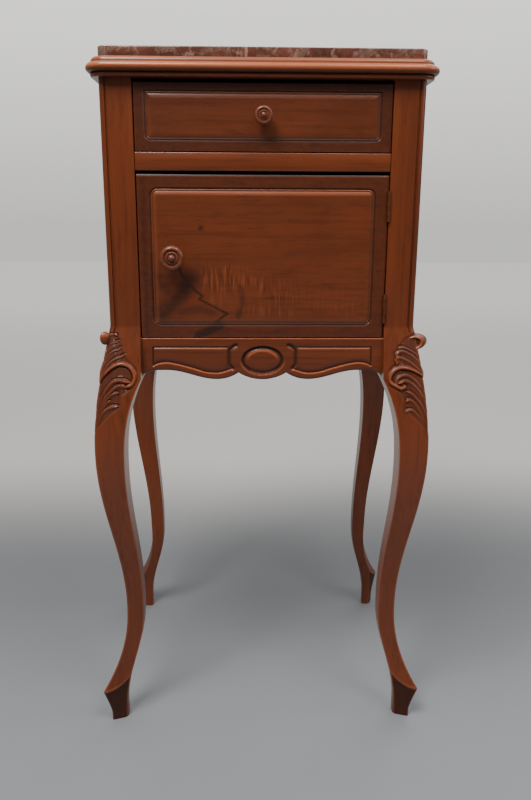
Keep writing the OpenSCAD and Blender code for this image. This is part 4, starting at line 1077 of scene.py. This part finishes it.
# Lines of the apron's right half, through (x, z) in millimetres: the lip over the lower edge
# and the grooves round the panel
LIP = smooth([(134.3, 496.1), (128.1, 498.8), (118.6, 500.3), (107.7, 498.8), (94.2, 495.4),
              (82, 491.9), (71.1, 488.4), (57.5, 487), (47.9, 488.4), (37, 492.5)])
INNER_GROOVE = smooth([(37, 492.5), (40.4, 496.5), (41, 501), (41, 508), (40.6, 514),
                       (37.5, 518.5), (32.1, 521.4)])
OUTER_GROOVE = [(134.3, 496.1), (133.5, 518.5)]
UPPER_GROOVE = [(133.5, 518.9), (42, 518.9)]
BOSS_X, BOSS_Z, BOSS_RING = 21.5, 13.6, 4.8     # half sizes of the boss, width of its ring
BOSS_DOWN = 27.65                               # of its middle, under the apron's top


def apron_relief(x, z):
    """Relief of the apron in millimetres, with its painted shade and its painted highlights."""
    x, top = abs(x), SILL_Z / MM
    up = z - APRON_LOW / MM - apron_edge(x)
    rise = shade_and_dirt = highlight_and_wear = 0.0
    if 30 < x < 140:
        away, side, _ = nearest(LIP, x, z)
        # Painted shade in the hollow over the lip, and a painted highlight along the lip's upper
        # edge.
        if 37 < x < 134.3:
            if side > 0:
                rise -= 2.0 * math.exp(-(away / 3.4) ** 1.4)
                shade_and_dirt = max(shade_and_dirt, 0.95 * math.exp(-(away / 2.2) ** 1.3))
            else:
                rise -= 2.0 * (1 - step(0, 1.1, away))
                highlight_and_wear = max(highlight_and_wear, 1.0 * math.exp(-((away - 0.9) / 0.9) ** 2))
        # Painted shade in the grooves round the panel.
        for line, wide, deep in ((INNER_GROOVE, 2.3, 2.3), (OUTER_GROOVE, 0.9, 1.4),
                                 (UPPER_GROOVE, 1.0, 1.1)):
            soft = math.exp(-(nearest(line, x, z)[0] / wide) ** 2)
            rise = min(rise, -deep * soft) if soft > 0.05 else rise
            shade_and_dirt = max(shade_and_dirt, soft * 0.9)
        # A painted highlight along the panel's upper edge.
        if 44 < x < 132:
            highlight_and_wear = max(highlight_and_wear, 1.0 * math.exp(-((z - 517.3) / 0.8) ** 2))
    middle = top - BOSS_DOWN
    ring = math.hypot(x / BOSS_X, (z - middle) / BOSS_Z)
    wide = math.hypot(x / (BOSS_X + BOSS_RING), (z - middle) / (BOSS_Z + BOSS_RING))
    # The boss: a painted highlight on its upper edge, painted shade in its ring, deepest at the
    # top and sides, and a painted highlight on the ring's lower rim.
    if ring < 1:
        rise -= 1.6 * ring ** 5
        highlight_and_wear = max(highlight_and_wear, 0.9 * math.exp(-((ring - 0.86) / 0.07) ** 2) * step(middle, middle + 6, z))
    elif wide < 1:
        t = (ring - 1) / (ring - wide)
        rise = min(rise, -1.6 - 0.9 * math.sin(math.pi * t)) if t < 0.8 else min(
            rise, -1.6 * (1 - step(0.8, 1, t)))
        shade_and_dirt = max(shade_and_dirt, (1.0 if z > middle or x > 15 else 0.6)
                     * math.sin(math.pi * min(1, t * 0.95)) ** 0.6)
    elif wide < 1.12 and z < middle:
        highlight_and_wear = max(highlight_and_wear, 1.0 * (1 - step(1.0, 1.10, wide)) * step(0, -6, z - middle))
    if x < 147 and up < 4.2:
        rise -= 3.2 * (1 - math.sqrt(max(0, 1 - ((4.2 - up) / 4.2) ** 2)))
    # A painted highlight along the apron's top edge.
    if top - z < 1.3:
        rise -= 1.3 * (1 - math.sqrt(max(0, 1 - ((1.3 - top + z) / 1.3) ** 2)))
        highlight_and_wear = 0.8
    return rise, min(1, shade_and_dirt), highlight_and_wear


class CUPBOARD_OT_apron(bpy.types.Operator):
    """Front apron with its scalloped edge, carved panels and oval boss"""
    bl_idname = "cupboard.apron"
    bl_label = "Apron"

    def execute(self, context):
        right = [CUSP_X * i / 48 for i in range(1, 49)]
        right += [CUSP_X + (APRON_HALF - CUSP_X) * i / 192 for i in range(1, 193)]
        xs = [-x for x in reversed(right)] + [0.0] + right
        rows, top = 104, SILL_Z / MM

        @cache
        def spot(i, j):
            x = xs[i]
            low = APRON_LOW / MM + apron_edge(x)
            t = j / rows - 0.02 * math.sin(2 * math.pi * j / rows)
            z = low + (top - low) * t
            return x, z, *apron_relief(x, z)

        def place(i, j):
            x, z, rise, _, _ = spot(i, j)
            return Vector((x * MM, FACE_Y - rise * MM, z * MM))

        piece = drape("apron_board", len(xs) - 1, rows, place,
                      {"shade_and_dirt": lambda i, j: spot(i, j)[3], "highlight_and_wear": lambda i, j: spot(i, j)[4]})
        pull_back(piece, FACE_Y + 22 * MM)
        settle(piece, "apron_front", wood("carved", "X"))
        return {"FINISHED"}


# ---- Rails and panels ----

class CUPBOARD_OT_rails(bpy.types.Operator):
    """Rails and panels of the sides, the back and between drawer and door"""
    bl_idname = "cupboard.rails"
    bl_label = "Rails and panels"

    def fit(self, name, node, grain, easing=None):
        """Puts a rail or a panel in its CAD piece's place, between the posts if its grain is
        level. One without easing has an arched lower edge."""
        lo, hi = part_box(node)
        half = {"X": OPEN_W, "Y": OPEN_D}.get(grain)
        if half:
            axis = "XY".index(grain)
            lo[axis], hi[axis] = -half, half
        if easing:
            piece = board(name, lo, hi, easing)
        else:
            piece = arched_rail(name, half, lo, hi, grain == "Y")
        settle(piece, node, wood("case", grain))

    def execute(self, context):
        self.fit("rail_middle", "drawer_rail", "X", 1.1 * MM)
        for side in ("left", "right"):
            self.fit("rail_side_" + side, "side_rail_" + side, "Y", 0.7 * MM)
            self.fit("panel_side_" + side, "side_panel_" + side, "Z", 0.5 * MM)
            self.fit("apron_side_" + side, "side_apron_" + side, "Y")
        self.fit("rail_back_top", "back_rail_top", "X", 0.7 * MM)
        self.fit("rail_back_low", "back_rail_bottom", "X")
        return {"FINISHED"}


# ---- Door and drawer fronts ----

# Depth, painted shade and painted highlight of the line round a field, by the distance in from its
# outer edge
FIELD_LINE = [(-0.6, 0, 0.15, 0), (0, 0.2, 0.4, 0), (0.4, 1.1, 0.6, 0), (0.8, 1.6, 0.65, 0),
              (1.2, 1.6, 0.55, 0), (1.7, 1.0, 0.2, 0.7), (2.1, 0.75, 0, 1), (2.6, 0.8, 0, 0.8),
              (3.1, 1.3, 0.35, 0.2), (3.6, 1.3, 0.35, 0.2), (4.4, 0.95, 0.1, 0.7),
              (5.7, 0.5, 0, 0.8), (7.5, 0.15, 0, 0.35), (8.5, 0, 0, 0)]
# Figure of the door's veneer, with painted shade along its top edge and a darker line along its
# bottom edge: lines through (x, z) in millimetres, half width, strength
DOOR_FIGURE_AND_SHADE = [
    ([(-101, 618), (-96.7, 607.4), (-86.1, 594.3), (-79.6, 586.7), (-72, 581.2), (-76.5, 577.9),
      (-60, 569.1), (-42.4, 560.2), (-48, 556.9), (-56, 550), (-60, 543)], 1.6, 1.0),
    ([(-129, 566), (-120, 560), (-106, 575), (-92, 590), (-84, 603)], 13, 0.72),
    ([(-126, 604), (-112, 585)], 10, 0.5), ([(-100, 562), (-76, 566), (-60, 562)], 7, 0.5),
    ([(-78, 534), (-66, 539), (-52, 545)], 6.2, 1.2),
    ([(-50, 541), (0, 536), (20, 538)], 2.6, 0.6),
    ([(-73.4, 660.4), (-72.4, 661.4)], 3.2, 0.8),
    ([(-30, 557), (-24, 570), (-26, 592)], 5.0, 0.55),
    ([(-134, 630), (-130, 590)], 10, 0.45),
    ([(-136, 598), (-126, 560), (-112, 541)], 9, 0.5),
    ([(-140, 534), (-139, 719)], 7, 0.62), ([(-136, 533.5), (136, 533.5)], 2.5, 0.5),
    ([(30, 540), (60, 552), (95, 548)], 9, 0.22), ([(40, 640), (90, 655), (120, 640)], 14, 0.16),
    ([(-30, 690), (20, 684), (80, 692)], 7, 0.14), ([(-45, 713), (-20, 711)], 7, 0.6),
    # The first line here is painted shade along the door's top edge.
    ([(-138, DOOR_HI.z / MM), (138, DOOR_HI.z / MM)], 3, 0.7), ([(60, 712), (110, 714)], 6, 0.5),
]
DOOR_GLEAM = [([(-62, 602), (-48, 594)], 12, 0.75), ([(-22, 600), (10, 590), (30, 582)], 13, 0.62),
              ([(-42, 614), (-35, 585), (-24, 562)], 7, 0.8),
              ([(-58, 574), (0, 565), (30, 560)], 8, 0.4),
              ([(60, 580), (100, 570)], 12, 0.35)]
# The drawer's marks: the first is the moulding's shadow, painted along the drawer's top edge; the
# others are figure.
DRAWER_FIGURE_AND_SHADE = [([(-140, DRAWER_HI.z / MM), (140, DRAWER_HI.z / MM)], 7, 0.8),
                 ([(-138, 760), (-120, 752), (-60, 757)], 4, 0.25),
                 ([(20, 770), (70, 764), (120, 772)], 6, 0.2)]
DRAWER_GLEAM = [([(-133, 760), (-133, 796)], 1.6, 0.5)]


def marked(marks, x, z):
    """Strongest of the marks at a place."""
    best = 0.0
    for line, wide, strength in marks:
        away = nearest(line, x, z)[0]
        if away < 2.5 * wide:
            best = max(best, strength * math.exp(-(away / wide) ** 2))
    return best


def field_line(d):
    for a, b in zip(FIELD_LINE, FIELD_LINE[1:]):
        if a[0] <= d < b[0]:
            t = (d - a[0]) / (b[0] - a[0])
            return [p + (q - p) * t for p, q in zip(a[1:], b[1:])]
    return 0, 0, 0


def grid_lines(lo, hi, margin_lo, margin_hi):
    """Places of a grid's lines: close together round a field's line, wider elsewhere."""
    places, at = [lo], lo
    while at < hi - 0.05 * MM:
        near = [at - lo - margin_lo, hi - at - margin_hi]
        gap = 0.3 if min(at - lo, hi - at) < 1.2 * MM else (
            0.4 if any(-1 * MM < n < 9.2 * MM for n in near) else 1.5)
        at = min(at + gap * MM, hi)
        places.append(at)
    return places


def fielded_board(name, lo, hi, thick, margins, radii, figure_and_shade, gleam, shades, sheen_and_wear):
    """A board with a raised field: a fine grid for its face, pulled back to its thickness.
    Margins run left, right, low, high; radii are those of the field's low and high corners;
    shades are the darkness of field and margin, the last argument the strength of the painted
    highlights."""
    left, right, low, high = margins
    xs, zs = grid_lines(lo.x, hi.x, left, right), grid_lines(lo.z, hi.z, low, high)
    cx, cz = (lo.x + left + hi.x - right) / 2, (lo.z + low + hi.z - high) / 2
    half_x, half_z = (hi.x - lo.x - left - right) / 2, (hi.z - lo.z - low - high) / 2
    edge = 0.9 * MM                     # rounding of the board's own edge

    @cache
    def spot(i, j):
        """Depth, painted shade, painted highlight, figure with painted shade, and gleam at a
        crossing of the grid.
        """
        x, z = xs[i], zs[j]
        r = radii[0] if z < cz else radii[1]
        qx, qz = abs(x - cx) - half_x + r, abs(z - cz) - half_z + r
        d = r - math.hypot(max(qx, 0), max(qz, 0)) - min(max(qx, qz), 0)
        deep, shade_and_dirt, highlight_and_wear = field_line(d / MM)
        over = step(-3 * MM, 3 * MM, qz - qx)       # 1 by the field's level sides, 0 beside it
        deep *= 1 - 0.45 * over * (z < cz)
        # Painted highlights, strongest along the field's top and weaker down its left side, where
        # light falls.
        highlight_and_wear *= sheen_and_wear * (0.1 + 0.8 * (0.25 * (1 - over) * (x < cx) + over * (z > cz)))
        # Painted shade along the field's lower and right sides.
        if 0 < d < 8 * MM:
            low_side = over * (z < cz) + 0.6 * (1 - over) * (x > cx)
            shade_and_dirt = max(shade_and_dirt, 0.7 * low_side * (1 - step(2.5 * MM, 7 * MM, d)))
        if -0.6 * MM < d < 1.4 * MM:
            shade_and_dirt = max(shade_and_dirt, 0.9 * over * (z < cz))
        # A painted highlight on the board's edges and painted shade along its top edge.
        border = min(x - lo.x, hi.x - x, z - lo.z, hi.z - z)
        if border < edge:
            highlight_and_wear = 0.12 * (hi.z - z > edge)
            shade_and_dirt = max(shade_and_dirt, 0.8 * (hi.z - z < edge))
            deep += (edge - math.sqrt(max(0, edge ** 2 - (edge - border) ** 2))) / MM
        dark = max(marked(figure_and_shade, x / MM, z / MM), shades[d < 0])
        return deep * MM, shade_and_dirt, highlight_and_wear, dark, marked(gleam, x / MM, z / MM)

    piece = drape(name, len(xs) - 1, len(zs) - 1,
                  lambda i, j: Vector((xs[i], lo.y + spot(i, j)[0], zs[j])),
                  {"shade_and_dirt": lambda i, j: spot(i, j)[1], "highlight_and_wear": lambda i, j: spot(i, j)[2],
                   "figure_and_shade": lambda i, j: spot(i, j)[3], "gleam": lambda i, j: spot(i, j)[4]})
    pull_back(piece, lo.y + thick)
    return piece


class CUPBOARD_OT_door(bpy.types.Operator):
    """Door with its raised field"""
    bl_idname = "cupboard.door"
    bl_label = "Door"

    def execute(self, context):
        s = context.scene.cupboard_fronts
        piece = fielded_board("door", DOOR_LO, DOOR_HI, DOOR_HI.y - DOOR_LO.y,
                              [s.door_margin] * 4, [s.door_round] * 2, DOOR_FIGURE_AND_SHADE,
                              DOOR_GLEAM, (0.03, 0.47), 1)
        settle(piece, "door_board", wood("front", "X"), "door")
        return {"FINISHED"}


class CUPBOARD_OT_drawer(bpy.types.Operator):
    """Drawer front with its raised field, and the dovetailed box behind it"""
    bl_idname = "cupboard.drawer"
    bl_label = "Drawer"

    def execute(self, context):
        s = context.scene.cupboard_fronts
        piece = fielded_board("drawer_face", DRAWER_LO, DRAWER_HI, 20 * MM,
                              (s.drawer_margin, s.drawer_margin, s.drawer_low, s.drawer_top),
                              (s.drawer_round, 2 * MM), DRAWER_FIGURE_AND_SHADE, DRAWER_GLEAM,
                              (0.28, 0.58), 0.35)
        settle(piece, "drawer_front", wood("front", "X"), "drawer")
        refinish(wood("inner", "Y"), "drawer_side_left", "drawer_side_right", "drawer_bottom")
        refinish(wood("inner", "X"), "drawer_back")
        return {"FINISHED"}


# Radius and height of a knob's line, as shares of its own radius and height: foot and neck,
# a large bead, two rings and a button
KNOB_LINE = [(0.3, 0), (0.60, 0), (0.62, 0.04), (0.60, 0.09), (0.50, 0.14), (0.44, 0.26),
             (0.46, 0.34), (0.50, 0.40), *arc(0.72, 0.66, 0.28, 0.19, -70, 80, 16),
             (0.70, 0.845), (0.66, 0.82), (0.62, 0.775), (0.57, 0.775), (0.52, 0.81),
             (0.46, 0.84), (0.40, 0.84), (0.36, 0.80), (0.31, 0.80),
             *arc(0, 0.82, 0.30, 0.18, 0, 90, 8)]
SPIGOT = 4 * MM                         # how deep a knob's spigot sits in the wood


class CUPBOARD_OT_knobs(bpy.types.Operator):
    """Turned knobs of the drawer and the door"""
    bl_idname = "cupboard.knobs"
    bl_label = "Knobs"

    def execute(self, context):
        s = context.scene.cupboard_fronts
        for name, node, body, d in (("knob_drawer", "drawer_knob", "drawer", s.drawer_knob),
                                    ("knob_door", "door_knob", "door", s.door_knob)):
            lo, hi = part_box(node)
            r, h = d / 2, 0.86 * d
            centre = Vector(((lo.x + hi.x) / 2, FACE_Y, (lo.z + hi.z) / 2))
            profile = [(0, -SPIGOT), (0.3 * r, -SPIGOT)] + [(a * r, b * h) for a, b in KNOB_LINE]
            knob = turned(name, profile, centre, (0, -1, 0), (1, 0, 0), 64)
            settle(knob, node, wood("knob", "Y"), body)
        return {"FINISHED"}


class CUPBOARD_OT_fittings(bpy.types.Operator):
    """Brass and steel fittings, and the plain wood inside"""
    bl_idname = "cupboard.fittings"
    bl_label = "Fittings and inside"

    def execute(self, context):
        f = context.scene.cupboard_finishes
        refinish(aged_metal("aged_brass", f.brass_tone, 0.28),
                 "hinge_leaf_post_upper", "hinge_leaf_post_lower", "hinge_leaf_door_upper",
                 "hinge_leaf_door_lower", "hinge_pins", "hinge_screws_post", "hinge_screws_door",
                 "catch_case", "catch_strike", "strike_screws", "drawer_knob_screw",
                 "door_knob_screw", "top_screws")
        refinish(aged_metal("bright_steel", f.steel_tone, 0.16), "catch_ball", "catch_spring")
        refinish(wood("inner", "X"), "cupboard_floor", "dust_board", "back_panel", "top_back_rail",
                 "glue_blocks", "drawer_stops")
        refinish(wood("inner", "Y"), "floor_cleat_left", "floor_cleat_right", "drawer_runner_left",
                 "drawer_runner_right", "drawer_guide_left", "drawer_guide_right",
                 "drawer_kicker_left", "drawer_kicker_right")
        refinish(wood("inner", "Z"), "door_stop", "top_dowels")
        return {"FINISHED"}


# ---- Stage ----

class CUPBOARD_OT_stage(bpy.types.Operator):
    """Pale floor, soft studio light and the camera at the photograph's angle"""
    bl_idname = "cupboard.stage"
    bl_label = "Stage"

    def backdrop(self, context):
        """A studio's surroundings: bright above and behind, dim in front, and a pale
        backdrop where the camera looks."""
        world = bpy.data.worlds.new("studio")
        context.scene.world = world
        world.use_nodes = True
        nodes, link = world.node_tree.nodes, world.node_tree.links.new
        coords, split = nodes.new("ShaderNodeTexCoord"), nodes.new("ShaderNodeSeparateXYZ")
        link(coords.outputs["Generated"], split.inputs[0])

        def ramp(axis, *limits):
            """A value that rises between two places on an axis, from one limit to another."""
            made = nodes.new("ShaderNodeMapRange")
            link(split.outputs[axis], made.inputs["Value"])
            for place, value in zip(("From Min", "From Max", "To Min", "To Max"), limits):
                made.inputs[place].default_value = value
            return made.outputs[0]

        surround, backdrop = nodes["Background"], nodes.new("ShaderNodeBackground")
        surround.inputs["Color"].default_value = (1.0, 0.98, 0.95, 1)
        backdrop.inputs["Color"].default_value = (1.0, 0.985, 0.955, 1)
        strength = nodes.new("ShaderNodeMath")
        strength.operation = "MULTIPLY"
        link(ramp(2, 0.0, 0.9, 0.10, 0.85), strength.inputs[0])
        link(ramp(1, -0.6, 0.6, 0.55, 1.25), strength.inputs[1])
        link(strength.outputs[0], surround.inputs["Strength"])
        link(ramp(2, -0.02, 0.26, 0.70, 1.3), backdrop.inputs["Strength"])
        path, mix = nodes.new("ShaderNodeLightPath"), nodes.new("ShaderNodeMixShader")
        for source, target in ((path.outputs["Is Camera Ray"], mix.inputs[0]),
                               (surround.outputs[0], mix.inputs[1]),
                               (backdrop.outputs[0], mix.inputs[2]),
                               (mix.outputs[0], nodes["World Output"].inputs["Surface"])):
            link(source, target)

    def floor(self):
        """A pale floor, greyer near the cupboard with painted shade under and just behind it, and
        glowing further back, a painted light that fades it into the backdrop.
        """
        deselect()
        bpy.ops.mesh.primitive_plane_add(size=14, location=(0, 2, 0), calc_uvs=False)
        floor = begin("floor")
        take(floor)
        bpy.ops.object.transform_apply(location=True, rotation=True, scale=True)
        paint = Paint("pale_floor")
        at = paint.place()
        mottle = paint.noise(at, (3, 3, 3), 3)
        depth = paint.axes(at)[1]
        near = paint.blend(mottle, (0.215, 0.232, 0.255), (0.245, 0.262, 0.285))
        # Painted shade on the floor under and just behind the cupboard.
        near = paint.blend(depth.between(-0.25, 0.2), near, (0.165, 0.175, 0.19))
        # The floor glows more and more further back: a painted light that fades it into the
        # backdrop.
        far = paint.blend(depth.between(0.3, 5.0), (0, 0, 0), (0.41, 0.405, 0.40))
        paint.set(Base_Color=paint.blend(depth.between(0.28, 1.0), near, (0.55, 0.55, 0.54)),
                  Roughness=0.7, Emission_Color=far, Emission_Strength=1.0)
        floor.data.materials.append(paint.material)

    def execute(self, context):
        stage = context.scene.cupboard_stage
        data = bpy.data.cameras.new("camera")
        camera = bpy.data.objects.new("camera", data)
        context.scene.collection.objects.link(camera)
        p, t, roll = stage.pitch, stage.turn, stage.roll
        ahead = Vector((math.sin(t) * math.cos(p), math.cos(t) * math.cos(p), -math.sin(p)))
        right = Vector((math.cos(t), -math.sin(t), 0))
        side = right * math.cos(roll) - right.cross(ahead) * math.sin(roll)
        axes = Matrix((side, side.cross(ahead), -ahead)).transposed().to_4x4()
        camera.matrix_world = Matrix.Translation(stage.camera_place) @ axes
        data.sensor_width, data.lens = 36, stage.lens
        data.clip_start, data.clip_end = 0.05, 60
        context.scene.camera = camera
        self.floor()
        self.backdrop(context)
        for name, place, aim, size, power, colour in (
                ("overhead", (-0.75, -1.2, 2.55), (0, 0, 0.45), 0.9, 60, (1.0, 0.95, 0.89)),
                ("overhead_right", (0.8, -1.15, 2.6), (0, 0, 0.5), 0.8, 20, (1.0, 0.95, 0.89)),
                ("behind", (1.2, 1.6, 2.4), (0, 0, 0.6), 1.6, 14, (0.96, 0.98, 1.0)),
                ("fill_right", (2.4, -0.6, 1.7), (0, 0, 0.5), 1.4, 12, (1.0, 0.97, 0.93))):
            lamp = bpy.data.lights.new(name, "AREA")
            lamp.size, lamp.energy, lamp.color = size, power, colour
            obj = bpy.data.objects.new(name, lamp)
            context.scene.collection.objects.link(obj)
            obj.location = place
            obj.rotation_mode = "QUATERNION"
            obj.rotation_quaternion = (Vector(aim) - Vector(place)).to_track_quat("-Z", "Y")
        return {"FINISHED"}


# ---- Panel and registration ----

STEPS = (CUPBOARD_OT_stage, CUPBOARD_OT_marble, CUPBOARD_OT_moulding, CUPBOARD_OT_front_legs,
         CUPBOARD_OT_rear_legs, CUPBOARD_OT_apron, CUPBOARD_OT_rails, CUPBOARD_OT_door,
         CUPBOARD_OT_drawer, CUPBOARD_OT_knobs, CUPBOARD_OT_fittings)
GROUPS = (("cupboard_legs", CupboardLegSizes), ("cupboard_fronts", CupboardFrontSizes),
          ("cupboard_finishes", CupboardFinishes), ("cupboard_stage", CupboardStage))


class CUPBOARD_PT_panel(bpy.types.Panel):
    """Lists the cupboard's sizes, finishes and building steps"""
    bl_idname = "CUPBOARD_PT_panel"
    bl_label = "Pot cupboard"
    bl_space_type = "VIEW_3D"
    bl_region_type = "UI"
    bl_category = "Pot cupboard"

    def draw(self, context):
        layout = self.layout
        for attribute, group in GROUPS:
            box = layout.box()
            settings = getattr(context.scene, attribute)
            for name in group.__annotations__:
                box.prop(settings, name)
        for operator in STEPS:
            layout.operator(operator.bl_idname)


def register():
    for _, group in GROUPS:
        bpy.utils.register_class(group)
    for operator in STEPS:
        bpy.utils.register_class(operator)
    bpy.utils.register_class(CUPBOARD_PT_panel)
    for attribute, group in GROUPS:
        setattr(bpy.types.Scene, attribute, bpy.props.PointerProperty(type=group))


def unregister():
    for attribute, _ in GROUPS:
        delattr(bpy.types.Scene, attribute)
    bpy.utils.unregister_class(CUPBOARD_PT_panel)
    for operator in reversed(STEPS):
        bpy.utils.unregister_class(operator)
    for _, group in reversed(GROUPS):
        bpy.utils.unregister_class(group)


def main():
    register()
    for operator in STEPS:
        family, name = operator.bl_idname.split(".")
        getattr(getattr(bpy.ops, family), name)()


if __name__ == "__main__":
    main()
